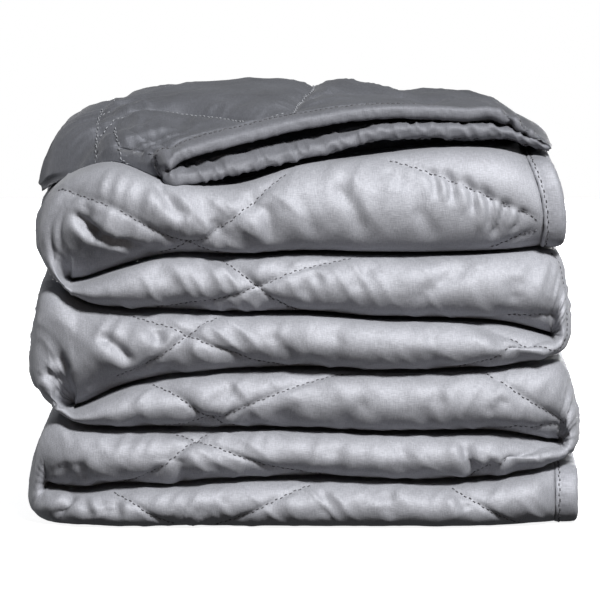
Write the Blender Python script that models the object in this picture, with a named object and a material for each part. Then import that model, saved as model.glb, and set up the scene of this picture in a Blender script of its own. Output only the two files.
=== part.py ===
"""A quilted weighted blanket, folded into a stack of six layers with its last edge turned over on top.

The blanket is folded to a quarter of its width and then back and forth along its length, so
the stack is one strip that zigzags from the top right to the bottom right. Sizes are in
millimetres, and a point becomes metres when its mesh is made. X runs to the right, Y to the
back and Z up, with the origin on the floor under the middle of the stack.
"""

import math

import bmesh
import bpy
import numpy as np

METRES_PER_MM = 0.001
WELD = 0.00001

# The stack
HALF_LENGTH = 150.0  # of the stack, left to right
HALF_DEPTH = 151.0  # from the middle to the front creases
BACK_DEPTH = 154.5  # from the middle to the back creases
CREASE_GAP = 1.8  # air between one layer and the next
PIECE_GAP = 0.3  # between the quilt and the binding sewn to it
LAYER_JOIN_X = 108.0  # a layer is straight as far as this, and its fold begins here
FOLD_ROUND_X = 24.0  # the fold's outer face starts to round off this far inside its reach
FOLD_SQUARENESS = 2.7  # exponent of the fold's outer curve: 2 is round, more is boxier
END_BOW = 8.0  # the strip's top end bulges this far to the right
END_BOW_FADE = 16.0
RIB_STEP = 10.0  # spacing of the sections along the strip

# The slight unevenness of a pile of soft layers, full above this height and nothing at the floor
SETTLE_FROM_Z = 60.0
SWELL = 1.8
TWIST = 0.012
BACK_SAG = 3.0

# The rounded front of a layer, and its back, where two creases lie with a slit between them
FRONT_CROWN = 23.0
FRONT_SQUARENESS = 2.25
BACK_CROWN = 11.0
BACK_SLIT_DEPTH = 34.0
BACK_SLIT_GAP = 1.6
CORNER_SET_BACK = 9.0  # how far the stack's upright corners fall back from its front
FRONT_ANGLES = np.radians(np.linspace(-90, 90, 11))
BACK_ANGLES = np.radians((90, 30, -30, -90))

# Heights of the lines between the layers, seen from the front, at these places across the stack.
# left and right say where a line ends: at the tip of the fold that closes it, or at the open side.
LINE_X = (-156, -130, -110, -80, -40, 0, 40, 80, 115, 150)
LINES = (
    # name, heights at LINE_X, left, right
    ("top", (184, 202, 208, 200, 197, 208, 213, 217, 215.5, 204), -153, 118),
    ("gap_1", (138, 141, 148, 156, 156, 158, 157, 157, 158, 161), -136, 134),
    ("gap_2", (146, 129, 125, 124, 123, 123, 120, 119, 116, 105), -155, 140),
    ("gap_3", (62, 68, 78, 86, 90, 91, 90, 90, 92, 97), -133, 154),
    ("gap_4", (73, 58, 56, 56, 56, 56, 54, 54, 53, 45), -156, 147),
    ("gap_5", (24, 20, 23, 24, 27, 28, 27, 26, 28, 35), -147, 155),
    ("floor", (0, 0, 0, 0, 0, 0, 0, 0, 0, 0), -157, 141),
)
LAYERS = (
    # forward of the others, quilting lines that climb and fall to the right: where each crosses
    # the middle of the layer's front, and its slope there
    {"forward": 1.0, "climb_x": -44, "climb_slope": 0.75, "fall_x": -98, "fall_slope": 0.60},
    {"forward": -1.5, "climb_x": -29, "climb_slope": 0.42, "fall_x": -29, "fall_slope": 1.10},
    {"forward": 0.5, "climb_x": -78, "climb_slope": 0.80, "fall_x": -56, "fall_slope": 0.56},
    {"forward": -1.0, "climb_x": -29, "climb_slope": 0.45, "fall_x": -67, "fall_slope": 0.90},
    {"forward": 0.0, "climb_x": -76, "climb_slope": 0.95, "fall_x": -35, "fall_slope": 0.52},
    {"forward": 2.0, "climb_x": -23, "climb_slope": 0.62, "fall_x": -91, "fall_slope": 0.88},
)
DIAMOND_LENGTH = 195.0  # of the quilting, along the strip
SEAM_DEPTH = 2.4
SEAM_HALF_WIDTH = 8.0
PUFF_HEIGHT = 1.3
PUFF_REACH = 30.0
PLAIN_END = 12.0  # the relief fades out this near the strip's bound ends
FULL_RELIEF_HALF = 12.0  # where half the layer's height is less than this, its relief is less too

# The turned-over edge on top: a row for each front-to-back line across it, from its left crease.
# Heights are those of the middle of each of its two layers at the front hem, and of the top face
# at mid depth and at the back.
TURNED_EDGE_COLUMNS = (
    "share", "front_x", "front_y", "low_z", "high_z", "mid_x", "mid_z", "back_x", "back_z",
)
TURNED_EDGE = (
    (0.00, -78, -147, 205, 205, -153, 188, -149, 186),
    (0.10, -73, -144, 200, 212, -151, 203, -147, 196),
    (0.20, -67, -142, 201, 215, -138, 219, -134, 206),
    (0.32, -56, -140, 202, 218, -109, 234, -106, 214),
    (0.45, -35, -137, 207, 223, -71, 242, -70, 219),
    (0.60, 4, -132, 215, 232, -11, 244, -12, 221),
    (0.75, 49, -127, 226, 238, 45, 241, 43, 219),
    (0.88, 94, -124, 229, 240, 95, 234, 92, 216),
    (0.95, 118, -122, 226, 235, 122, 225, 119, 209),
    (1.00, 139, -119, 216, 216, 141, 213, 137, 203),
)
TURNED_EDGE_SEAMS = (
    # x and y of both ends of each quilting line across it
    (-9, -127, 4, 140),
    (-20, -127, -128, -12),
    (-128, -12, -70, 140),
    (0, 15, 139, 110),
)
CLOTH_THICKNESS = 8.0
HEM_CLEARANCE = 1.4  # between the lower hem and the layer that it lies on
EDGE_ROUND_SHARE = 0.035
END_ROUND_SHARE = 0.09
EDGE_ROUND_SHARES = (0.01, 0.03, 0.14, 0.99)
HEM_STEPS = (2.0, 10.0, 18.0, 26.0, 34.0)
EDGE_Y = (-30.0, 0.0, 35.0, 70.0, 105.0, 128.0, 137.0, 140.0)
MOUTH_STEPS = 4
TURNED_BACK_Y = 140.0
TURNED_KNEE_Y = -58.0
TURNED_CREST_Y = -5.0
BACK_ROUND = 10.0
ROUNDED_SHARE = 0.98
MOUTH_DEPTH = 85.0
MOUTH_OPENING_SHARES = (0.12, 0.2, 0.29, 0.36, 0.91, 0.94, 0.97)
MOUTH_OPENING = (0, 0.27, 0.78, 1, 1, 0.5, 0)
MOUTH_CLOSING = 0.4
UNDER_HEM = 26.0  # behind the hem the turned edge grows out of the layer under it
SUNK_INTO_TOP = 9.0
SUNK_TO_X = 108.0
SINK_EASE = 10.0
EDGE_STEP = 13.0

# The binding: a folded strip sewn over the raw edges
BINDING_WIDTH = 13.5
BACK_CREASE_INSET = 4.0  # the binding turns this far short of the back creases
BACK_CREASE_REACH = 14.0
PLY_GAP = 0.03  # between plies, as a share of half the layer's height
BACK_CREASE_ANGLES = np.radians((-60, -20, 20, 60))
PLY_SHARE = 0.45  # thickness of one ply of a folded layer, as a share of half the layer's height
BINDING_TURN_SHARE = 0.06
BINDING_TURN_ANGLES = np.radians((45, 90, 135))
BINDING_SECTION = ((0, 0), (0, 0.5), (0.15, 0.85), (0.5, 1), (0.85, 0.85), (1, 0.5), (1, 0))  # depth, width

SATIN = (0.38, 0.39, 0.43, 1.0)
SATIN_TRIM = (0.34, 0.35, 0.39, 1.0)


def smooth_through(places, values, at):
    """A smooth curve through the given values, level with the straight line beyond its ends."""
    places, values, at = (np.asarray(a, float) for a in (places, values, at))
    slopes = np.gradient(values, places)
    i = np.clip(np.searchsorted(places, at) - 1, 0, len(places) - 2)
    span = places[i + 1] - places[i]
    t = (at - places[i]) / span
    inside = np.clip(t, 0, 1)
    a, b = values[i], values[i + 1]
    hermite = (
        a * (1 + 2 * inside) * (1 - inside) ** 2
        + slopes[i] * span * inside * (1 - inside) ** 2
        + b * inside**2 * (3 - 2 * inside)
        - slopes[i + 1] * span * inside**2 * (1 - inside)
    )
    beyond = np.where(t > 1, (t - 1) * span * slopes[i + 1], np.where(t < 0, t * span * slopes[i], 0))
    return hermite + beyond


def ease(t):
    t = np.clip(t, 0, 1)
    return t * t * (3 - 2 * t)


def line_height(number, x):
    return smooth_through(LINE_X, LINES[number][1], x)


def face_height(number, x, side):
    """Height of a layer's face along a line: side is 1 for the face above it and -1 for the one below."""
    if LINES[number][0] in ("top", "floor"):
        return line_height(number, x)
    return line_height(number, x) + side * CREASE_GAP / 2


def resampled(points, count):
    """The same polyline with its points evenly spaced."""
    run = np.concatenate(([0], np.cumsum(np.linalg.norm(np.diff(points, axis=0), axis=1))))
    at = np.linspace(0, run[-1], count)
    return np.stack([np.interp(at, run, points[:, k]) for k in range(points.shape[1])], axis=1)


def fold_outside(above, below, side):
    """The outer face of a fold on that side of the stack, from the line above it to the one below."""
    reach = LINES[below][2 if side < 0 else 3]
    start = reach - side * FOLD_ROUND_X
    angles = np.linspace(0, math.pi, 49)
    across = np.abs(np.sin(angles)) ** (2 / FOLD_SQUARENESS)
    share = np.sign(np.cos(angles)) * np.abs(np.cos(angles)) ** (2 / FOLD_SQUARENESS)
    x = start + side * FOLD_ROUND_X * across
    top, bottom = face_height(above, x, -1), face_height(below, x, 1)
    curve = np.stack([x, (top + bottom) / 2 + share * (top - bottom) / 2], axis=1)
    run_in = np.linspace(side * LAYER_JOIN_X, start, 5)[:-1]
    first = np.stack([run_in, face_height(above, run_in, -1)], axis=1)
    last = np.stack([run_in, face_height(below, run_in, 1)], axis=1)[::-1]
    return np.concatenate([first, curve, last])


def fold_ribs(above, below, side, step):
    """Ribs through a fold: straight across as far as the slit's tip, and then fanned round that tip."""
    outside = fold_outside(above, below, side)
    tip_x = LINES[above + 1][2 if side < 0 else 3]
    tip = np.array((tip_x, line_height(above + 1, tip_x)))
    beyond = side * outside[:, 0] > side * tip_x
    first, last = np.flatnonzero(beyond)[[0, -1]]
    upper, lower = outside[:first][np.argsort(side * outside[:first, 0])], outside[last + 1 :]
    lower = lower[np.argsort(side * lower[:, 0])]
    count = max(2, round(abs(tip_x - side * LAYER_JOIN_X) / step))
    x = np.linspace(side * LAYER_JOIN_X, tip_x, count + 1)[1:]
    ends = [np.interp(side * x, side * part[:, 0], part[:, 1]) for part in (upper, lower)]
    over = np.stack([x, ends[0]], axis=1)
    under = np.stack([x, ends[1]], axis=1)
    arc = np.concatenate([over[-1:], outside[first : last + 1], under[-1:]])
    length = np.linalg.norm(np.diff(arc, axis=0), axis=1).sum()
    arc = resampled(arc, max(6, round(length / step)) + 1)[1:-1]
    around = arc - tip
    around = around / np.linalg.norm(around, axis=1, keepdims=True)
    outer = np.concatenate([over, arc, under[::-1]])
    slit = line_height(above + 1, x)
    inner = np.concatenate(
        [
            np.stack([x, slit + CREASE_GAP / 2], axis=1),
            tip + around * CREASE_GAP / 2,
            np.stack([x, slit - CREASE_GAP / 2], axis=1)[::-1],
        ]
    )
    return outer[:-1], inner[:-1]


def strip_ribs(step):
    """The strip's two faces as matching points, with each rib's place among the layers.

    The outer face is the one on the outside of the left-hand folds.
    """
    outer, inner, layer = [], [], []
    last = len(LAYERS) - 1
    for k in range(last + 1):
        side = -1 if k % 2 == 0 else 1
        start = -side * LAYER_JOIN_X
        top_start, low_start = (LINES[0][3], LINES[1][3]) if k == 0 else (start, start)
        end = LINES[-1][3] if k == last else side * LAYER_JOIN_X
        count = round(abs(end - top_start) / step) + 1
        top_x, low_x = np.linspace(top_start, end, count), np.linspace(low_start, end, count)
        above = np.stack([top_x, face_height(k, top_x, -1)], axis=1)
        below = np.stack([low_x, face_height(k + 1, low_x, 1)], axis=1)
        faces = [(above, below)]
        places = [np.full(count, float(k))]
        if k < last:
            faces.append(fold_ribs(k, k + 2, side, step))
            places.append(k + np.linspace(0, 1, len(faces[1][0]) + 1)[1:])
        outer += [pair[k % 2] for pair in faces]
        inner += [pair[1 - k % 2] for pair in faces]
        layer += places
    return np.concatenate(outer), np.concatenate(inner), np.concatenate(layer)


def front_of(middle_x, layer):
    """How far forward (to -Y) the crown of a rib reaches."""
    k = np.clip(layer, 0, len(LAYERS) - 1)
    forward = np.interp(k, range(len(LAYERS)), [row["forward"] for row in LAYERS])
    return -(HALF_DEPTH + forward) + CORNER_SET_BACK * np.abs(middle_x / HALF_LENGTH) ** 5


def ring_shape(half, front_y):
    """A section of the folded strip: for each rib, shares from one face (-1) to the other (1), and y."""
    count = len(half)
    power = 2 / FRONT_SQUARENESS
    share = np.sign(np.sin(FRONT_ANGLES)) * np.abs(np.sin(FRONT_ANGLES)) ** power
    set_back = FRONT_CROWN * (1 - np.abs(np.cos(FRONT_ANGLES)) ** power)
    columns = [(np.full(count, c), front_y + b) for c, b in zip(share, set_back)]
    slit = np.minimum(0.3, BACK_SLIT_GAP / 2 / half)
    crown_start = BACK_DEPTH - BACK_CROWN
    columns.append((np.ones(count), front_y / 2 + crown_start / 2 + FRONT_CROWN / 2))
    creases = [[], []]
    for angle in BACK_ANGLES:
        offset = (0.5 - slit / 2) * math.sin(angle)
        back = np.full(count, crown_start + BACK_CROWN * math.cos(angle))
        creases[0].append((0.5 + slit / 2 + offset, back))
        creases[1].append((-0.5 - slit / 2 + offset, back))
    columns += creases[0] + [(np.zeros(count), np.full(count, crown_start - BACK_SLIT_DEPTH))] + creases[1]
    columns.append((-np.ones(count), front_y / 2 + crown_start / 2 + FRONT_CROWN / 2))
    return np.stack([c for c, _ in columns], axis=1), np.stack([y for _, y in columns], axis=1)


def end_bow(run):
    """How far a rib bows outwards, a given length along the strip from its top end."""
    return END_BOW * np.exp(-((run / END_BOW_FADE) ** 2))


def quilt_phase(run, middle_x, layer):
    """Where along the strip each family of quilting lines crosses the layer's middle, with its slope."""
    rows = []
    for k, row in enumerate(LAYERS):
        on = layer == k
        order = np.argsort(middle_x[on])
        climb = np.interp(row["climb_x"], middle_x[on][order], run[on][order])
        fall = np.interp(row["fall_x"], middle_x[on][order], run[on][order])
        if rows:
            climb += DIAMOND_LENGTH * round((rows[-1][0] - climb) / DIAMOND_LENGTH)
            fall += DIAMOND_LENGTH * round((rows[-1][2] - fall) / DIAMOND_LENGTH)
        rows.append((climb, row["climb_slope"], fall, row["fall_slope"]))
    part = layer - np.floor(layer)
    blended = np.floor(layer) + ease(part)
    return [np.interp(blended, range(len(rows)), [row[i] for row in rows]) for i in range(4)]


def seam_distance(run, across, phase):
    """Distance in the cloth from the nearest quilting line."""
    climb, climb_slope, fall, fall_slope = (p[:, None] for p in phase)
    families = ((climb - across / climb_slope, climb_slope), (fall + across / fall_slope, fall_slope))
    found = []
    for where, slope in families:
        turns = (run - where) / DIAMOND_LENGTH
        along = np.abs(turns - np.round(turns)) * DIAMOND_LENGTH
        found.append(along * slope / np.hypot(1, slope))
    return np.minimum(*found)


def relief(distance):
    """Height of the quilting over the plain surface."""
    groove = -SEAM_DEPTH * np.exp(-((distance / SEAM_HALF_WIDTH) ** 2))
    return groove + PUFF_HEIGHT * ease(distance / PUFF_REACH)


def outward(points):
    """Unit normals of a grid of rings, pointing out of the tube."""
    along = np.gradient(points, axis=0)
    around = np.roll(points, -1, axis=1) - np.roll(points, 1, axis=1)
    normal = np.cross(around, along)
    return normal / np.maximum(np.linalg.norm(normal, axis=2, keepdims=True), 1e-9)


def strip_points():
    """The folded strip as a grid of points: a ring for each rib."""
    outer, inner, layer = strip_ribs(RIB_STEP)
    middle, half = (outer + inner) / 2, (outer - inner) / 2
    half_length = np.linalg.norm(half, axis=1)
    share, y = ring_shape(half_length, front_of(middle[:, 0], layer))
    run = np.concatenate(([0], np.cumsum(np.linalg.norm(np.diff(middle, axis=0), axis=1))))
    flat = middle[:, None, :] + half[:, None, :] * share[:, :, None]
    flat[:, :, 0] += end_bow(run)[:, None] * (1 - share**2)
    points = np.stack([flat[:, :, 0], y, flat[:, :, 1]], axis=2)
    fronts = len(FRONT_ANGLES)
    steps = np.linalg.norm(np.diff(points[:, :fronts], axis=1), axis=2)
    across = np.concatenate([np.zeros((len(run), 1)), np.cumsum(steps, axis=1)], axis=1)
    across -= across[:, -1:] / 2
    height = relief(seam_distance(run[:, None], across, quilt_phase(run, middle[:, 0], layer)))
    plain_ends = ease(run / PLAIN_END) * ease((run[-1] - run) / PLAIN_END)
    thick = np.clip(half_length / FULL_RELIEF_HALF, 0, 1)
    fade = (1 - np.abs(share[:, :fronts]) ** 5) * (thick * plain_ends)[:, None]
    points[:, :fronts] += outward(points)[:, :fronts] * (height * fade)[:, :, None]
    return points


def settle(points):
    """The points with the stack's slight unevenness."""
    x, y, z = points[..., 0], points[..., 1], points[..., 2]
    lift = ease(z / SETTLE_FROM_Z)
    moved = points.copy()
    swell = SWELL * np.sin(x / 71 + y / 64) * ease((y + HALF_DEPTH) / HALF_DEPTH)
    moved[..., 0] += lift * (SWELL * np.sin(z / 61) + TWIST * y * np.cos(z / 43))
    moved[..., 1] += lift * SWELL * np.sin(x / 58 + z / 33) * 0.7
    moved[..., 2] += lift * (swell - BACK_SAG * ease((y - 20) / HALF_DEPTH))
    return moved


def turned_edge_rows(step):
    """The turned-over edge's table, read at even steps across it."""
    table = np.array(TURNED_EDGE, float)
    spans = np.hypot(*np.diff(table[:, (5, 6)], axis=0).T)
    across = np.concatenate(([0], np.cumsum(spans)))
    shares = np.interp(np.linspace(0, across[-1], round(across[-1] / step)), across, table[:, 0])
    shares = np.unique(np.concatenate((shares, EDGE_ROUND_SHARES)))
    columns = zip(TURNED_EDGE_COLUMNS, table.T)
    rows = {name: smooth_through(table[:, 0], values, shares) for name, values in columns}
    bound = shares >= BINDING_TURN_SHARE
    rows["front_y"][~bound] = rows["front_y"][bound][0]
    return rows


def top_surface(x, y):
    """Height of the top layer's upper face, with its rounded front."""
    x = np.clip(x, LINE_X[0], LINES[0][3])
    high, low = line_height(0, x), line_height(1, x)
    fall = np.clip(1 - (y - front_of(x, 0.0)) / FRONT_CROWN, 0, 1)
    return (high + low) / 2 + (high - low) / 2 * (1 - fall**FRONT_SQUARENESS) ** (1 / FRONT_SQUARENESS)


def turned_edge_lines(row, y, half):
    """x of one front-to-back line of the turned edge at the given y, with the heights of the middle
    of its upper and lower layers.

    The lower layer lies on the layer under it, and the upper one on the lower.
    """
    reach = ease((y - row["front_y"]) / (TURNED_KNEE_Y - row["front_y"]))
    x = row["front_x"] + (row["mid_x"] - row["front_x"]) * reach
    to_back = ease((y - TURNED_CREST_Y) / (TURNED_BACK_Y - TURNED_CREST_Y))
    x = x + (row["back_x"] - row["mid_x"]) * to_back
    rise = np.sin(np.clip((y - row["front_y"]) / (TURNED_CREST_Y - row["front_y"]), 0, 1) * math.pi / 2)
    spacing = 2.2 * half
    high = row["high_z"] + (row["mid_z"] - row["high_z"]) * rise
    low = row["low_z"] + (row["mid_z"] - spacing - row["low_z"]) * rise
    high = high + (row["back_z"] - row["mid_z"]) * to_back
    low = low + (row["back_z"] - row["mid_z"]) * to_back
    low = np.maximum(low, top_surface(x, y) + half * (1 + HEM_CLEARANCE * 2 / CLOTH_THICKNESS))
    return x, np.maximum(high, low + spacing), low


def half_thickness(share):
    """Half the turned edge's layer, which thins to nothing at its left crease and its right end."""
    inset = min(1, share / EDGE_ROUND_SHARE, (1 - share) / END_ROUND_SHARE)
    return CLOTH_THICKNESS / 2 * math.sqrt(1 - (1 - inset) ** 2)


def turned_edge_seam_distance(x, y):
    """Distance in plan from the nearest of the quilting lines that cross the turned edge."""
    nearest = np.full(np.shape(x), PUFF_REACH)
    for x1, y1, x2, y2 in TURNED_EDGE_SEAMS:
        length = math.hypot(x2 - x1, y2 - y1)
        along = np.clip(((x - x1) * (x2 - x1) + (y - y1) * (y2 - y1)) / length**2, 0, 1)
        nearest = np.minimum(nearest, np.hypot(x - x1 - along * (x2 - x1), y - y1 - along * (y2 - y1)))
    return nearest


def turned_edge_points():
    """The turned-over edge: a ring for each front-to-back line, open at the front between its two hems."""
    rows = turned_edge_rows(EDGE_STEP)
    rings = []
    for i in range(len(rows["share"])):
        row = {name: values[i] for name, values in rows.items()}
        half = half_thickness(row["share"])
        front = row["front_y"] + BINDING_WIDTH
        hem = front + np.array(HEM_STEPS)
        y = np.concatenate((hem, np.linspace(hem[-1], EDGE_Y[0], 6)[1:-1], EDGE_Y))
        x, high, low = turned_edge_lines(row, y, half)
        back_round = np.sqrt(1 - (ROUNDED_SHARE * ease((y - TURNED_BACK_Y) / BACK_ROUND + 1)) ** 2)
        sink = ease((y - front - UNDER_HEM) / SINK_EASE) * ease(half * 2 / CLOTH_THICKNESS)
        sink = sink * ease((SUNK_TO_X - x) / SINK_EASE)
        sunk = line_height(0, np.clip(x, -128, SUNK_TO_X)) - SUNK_INTO_TOP
        raised = relief(turned_edge_seam_distance(x, y)) * half * 2 / CLOTH_THICKNESS
        top = high + half * back_round + raised
        bottom = low - half * back_round
        bottom += (np.minimum(sunk, bottom) - bottom) * sink
        depth = MOUTH_DEPTH * np.interp(row["share"], MOUTH_OPENING_SHARES, MOUTH_OPENING)
        mouth_y = front + 1 + depth * np.linspace(0, 1, MOUTH_STEPS)
        mouth_x, ceiling, base = turned_edge_lines(row, mouth_y, half)
        lip_x, high_lip, low_lip = turned_edge_lines(row, np.array([front]), half)
        ceiling, base = ceiling - half, base + half
        closing = np.linspace(0, 1, MOUTH_STEPS) ** 1.5 * MOUTH_CLOSING * (ceiling - base)
        ceiling, base = ceiling - closing, base + closing
        if depth < 1:
            mouth_x, mouth_y = np.full(MOUTH_STEPS, lip_x[0]), np.full(MOUTH_STEPS, front)
            ceiling = base = np.full(MOUTH_STEPS, (high_lip[0] + low_lip[0]) / 2)
        ring_x = np.concatenate((x[::-1], lip_x, mouth_x, mouth_x[::-1], lip_x, x))
        ring_y = np.concatenate((y[::-1], [front], mouth_y, mouth_y[::-1], [front], y))
        upper = np.concatenate((top[::-1], high_lip, ceiling))
        lower = np.concatenate((bottom[::-1], low_lip, base))
        rings.append(np.stack([ring_x, ring_y, np.concatenate((upper, lower[::-1]))], axis=1))
    return np.array(rings)


def turned_edge_binding():
    """The binding along both hems of the turned edge, in one piece round its left crease."""
    rows = turned_edge_rows(EDGE_STEP)
    keep = [i for i, share in enumerate(rows["share"]) if BINDING_TURN_SHARE <= share < 1]
    over, under = [], []
    for i in keep:
        row = {name: values[i] for name, values in rows.items()}
        half = half_thickness(row["share"])
        y = row["front_y"] + (BINDING_WIDTH - PIECE_GAP) * (1 - np.array([w for _, w in BINDING_SECTION]))
        offset = np.array([1 - 2 * s for s, _ in BINDING_SECTION]) * half
        x, high, low = turned_edge_lines(row, y, half)
        over.append(np.stack([x, y, high + offset], axis=1))
        under.append(np.stack([x, y, low - offset], axis=1))
    turn = []
    middle, reach = (over[0] + under[0]) / 2, (over[0] - under[0]) / 2
    for angle in BINDING_TURN_ANGLES:
        turned = middle + reach * math.cos(angle)
        turned[:, 0] -= reach[:, 2] * math.sin(angle)
        turn.append(turned)
    return np.array(over[::-1] + turn + under)


def folded_hem_skins(front, back, ply):
    """The hem of a layer's free end, seen end on: for each station the (share, y) of its outer and
    its inner skin, and how much of the end's slant it follows.

    The layer is four plies: the blanket's two edges are folded in to the middle, and then it is
    folded in half. So the hem runs from one edge back, round a crease, forward, round the layer's
    front, and in the same way back to the other edge.
    """
    turn_y = back - BACK_CREASE_INSET
    middle = 0.5 + PLY_GAP / 2
    reach = middle - PLY_GAP
    ply_y = np.linspace(front + FRONT_CROWN, turn_y, 6)
    stations = [((PLY_GAP, y), (middle - PLY_GAP, y), 0.0) for y in ply_y]
    for angle in BACK_CREASE_ANGLES:
        c, s = math.cos(angle), math.sin(angle)
        outer = (middle + reach * s, turn_y + BACK_CREASE_REACH * c)
        stations.append((outer, (middle + PLY_GAP * s, turn_y + c), 0.0))
    stations += [((1, y), (middle + PLY_GAP, y), 0.0) for y in ply_y[::-1]]
    power = 2 / FRONT_SQUARENESS
    for angle in FRONT_ANGLES[: len(FRONT_ANGLES) // 2 - 1 : -1]:
        share, drop = math.sin(angle) ** power, 1 - math.cos(angle) ** power
        inner = ((middle + PLY_GAP) * share, front + ply + (FRONT_CROWN - ply) * drop)
        stations.append(((share, front + FRONT_CROWN * drop), inner, 1 - share**4))
    return stations + [((-a, y), (-b, v), slant) for (a, y), (b, v), slant in stations[-2::-1]]


def end_binding(k):
    """The binding on the free end of layer k, along its folded hem."""
    outer_face, inner_face, _ = strip_ribs(RIB_STEP)
    end = 0 if k == 0 else -1
    middle, half = (outer_face[end] + inner_face[end]) / 2, (outer_face[end] - inner_face[end]) / 2
    height = np.linalg.norm(half)
    bow = end_bow(0.0) if k == 0 else 0.0
    front, back = front_of(middle[0], float(k)), BACK_DEPTH - BACK_CROWN
    rings = []
    for outer, inner, slant in folded_hem_skins(front, back, height * PLY_SHARE):
        spots, away = [], []
        for c, y in (outer, inner):
            flat = middle + half * c
            spots.append(np.array((flat[0] + bow * (1 - c * c), y, flat[1])))
            climb = slant * (2 * bow * c - half[0])
            away.append(np.array((height, 0, climb)) / math.hypot(height, climb))
        ring = []
        for depth, width in BINDING_SECTION:
            reach = PIECE_GAP + (BINDING_WIDTH - PIECE_GAP) * width
            spot, direction = (a + (b - a) * depth for a, b in (spots, away))
            ring.append(spot + direction * reach)
        rings.append(ring)
    return np.array(rings)


def lofted(name, rings, material, collection, capped=True):
    """An object skinned over rings of points, with flat ends if it is capped."""
    rings = settle(np.asarray(rings, float)) * METRES_PER_MM
    mesh = bmesh.new()
    grid = [[mesh.verts.new(point) for point in ring] for ring in rings]
    count = len(grid[0])
    for near, far in zip(grid, grid[1:]):
        for j in range(count):
            after = (j + 1) % count
            mesh.faces.new((near[j], near[after], far[after], far[j]))
    if capped:
        mesh.faces.new(grid[0][::-1])
        mesh.faces.new(grid[-1])
    bmesh.ops.remove_doubles(mesh, verts=mesh.verts, dist=WELD)
    bmesh.ops.triangulate(mesh, faces=mesh.faces)
    bmesh.ops.recalc_face_normals(mesh, faces=mesh.faces)
    data = bpy.data.meshes.new(name)
    mesh.to_mesh(data)
    mesh.free()
    data.materials.append(material)
    item = bpy.data.objects.new(name, data)
    collection.objects.link(item)
    return item


def fused(part, addition):
    """Joins the addition to the part by a Boolean union and removes it."""
    union = part.modifiers.new("union", "BOOLEAN")
    union.operation = "UNION"
    union.object = addition
    bpy.context.view_layer.update()
    evaluated = part.evaluated_get(bpy.context.evaluated_depsgraph_get())
    joined = bpy.data.meshes.new_from_object(evaluated)
    joined.name = part.name
    part.modifiers.clear()
    part.data = joined
    bpy.data.objects.remove(addition, do_unlink=True)


def cloth_material(name, colour):
    material = bpy.data.materials.new(name)
    material.use_nodes = True
    shader = material.node_tree.nodes["Principled BSDF"]
    shader.inputs["Base Color"].default_value = colour
    shader.inputs["Roughness"].default_value = 0.45
    shader.inputs["Metallic"].default_value = 0.0
    material.diffuse_color = colour
    return material


def main():
    for item in list(bpy.data.objects):
        bpy.data.objects.remove(item, do_unlink=True)
    parts = bpy.data.collections.new("Weighted blanket")
    bpy.context.scene.collection.children.link(parts)
    satin = cloth_material("Satin shell", SATIN)
    quilt = lofted("quilt", strip_points(), satin, parts)
    turned = lofted("turned_edge", turned_edge_points(), satin, parts, capped=False)
    fused(quilt, turned)
    trim = cloth_material("Satin binding", SATIN_TRIM)
    lofted("binding_turned_edge", turned_edge_binding(), trim, parts)
    lofted("binding_top_end", end_binding(0), trim, parts)
    lofted("binding_bottom_end", end_binding(len(LAYERS) - 1), trim, parts)


main()
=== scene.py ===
"""The looks of the folded weighted blanket: the same folds as its solids, with finer sampling.

Sizes are in millimetres until a mesh is made, in the frame's axes: X to the right, Y to the back
and Z up. "View" coordinates are x and height as the camera sees them, measured on the plane that
the stack's front touches.
"""

import math

import bmesh
import bpy
import numpy as np
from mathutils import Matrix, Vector


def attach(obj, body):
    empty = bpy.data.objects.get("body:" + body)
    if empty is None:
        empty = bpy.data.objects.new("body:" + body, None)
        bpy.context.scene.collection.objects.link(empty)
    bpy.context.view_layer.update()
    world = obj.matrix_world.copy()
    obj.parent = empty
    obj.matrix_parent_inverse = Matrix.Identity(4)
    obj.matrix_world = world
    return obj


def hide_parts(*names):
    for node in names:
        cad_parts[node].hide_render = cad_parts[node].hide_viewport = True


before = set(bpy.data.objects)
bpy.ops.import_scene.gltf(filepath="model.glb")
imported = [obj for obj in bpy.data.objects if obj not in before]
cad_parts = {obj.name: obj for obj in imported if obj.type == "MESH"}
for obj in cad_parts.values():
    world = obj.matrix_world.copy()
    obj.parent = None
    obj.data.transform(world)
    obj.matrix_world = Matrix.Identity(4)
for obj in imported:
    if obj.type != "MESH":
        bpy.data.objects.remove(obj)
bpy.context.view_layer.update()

METRES_PER_MM = 0.001

# The stack
HALF_LENGTH = 150.0  # of the stack, left to right
HALF_DEPTH = 151.0  # from the middle to the front creases
BACK_DEPTH = 154.5  # from the middle to the back creases
CREASE_GAP = 1.8  # air between one layer and the next
PIECE_GAP = 0.3  # between the quilt and the binding sewn to it
LAYER_JOIN_X = 108.0  # a layer is straight as far as this, and its fold begins here
FOLD_ROUND_X = 24.0  # the fold's outer face starts to round off this far inside its reach
FOLD_SQUARENESS = (3.8, 5.0, 3.3, 4.4, 3.8)  # the folds' outer curves: 2 is round, more boxier
FOLD_LEANS = (0.05, -0.12, -0.12, -0.25, -0.3)  # how much fuller a fold's tip is above its middle
END_BOW = 4.0  # the strip's top end bulges this far to the right
END_BOW_FADE = 16.0
RIB_STEP = 1.8  # spacing of the sections along the strip

# The slight unevenness of a pile of soft layers, full above this height and nothing at the floor
SETTLED_FROM_Z = 60.0
SWELL = 1.8
TWIST = 0.012
BACK_SAG = 3.0
FLOOR_EASE = 1.5

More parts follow.
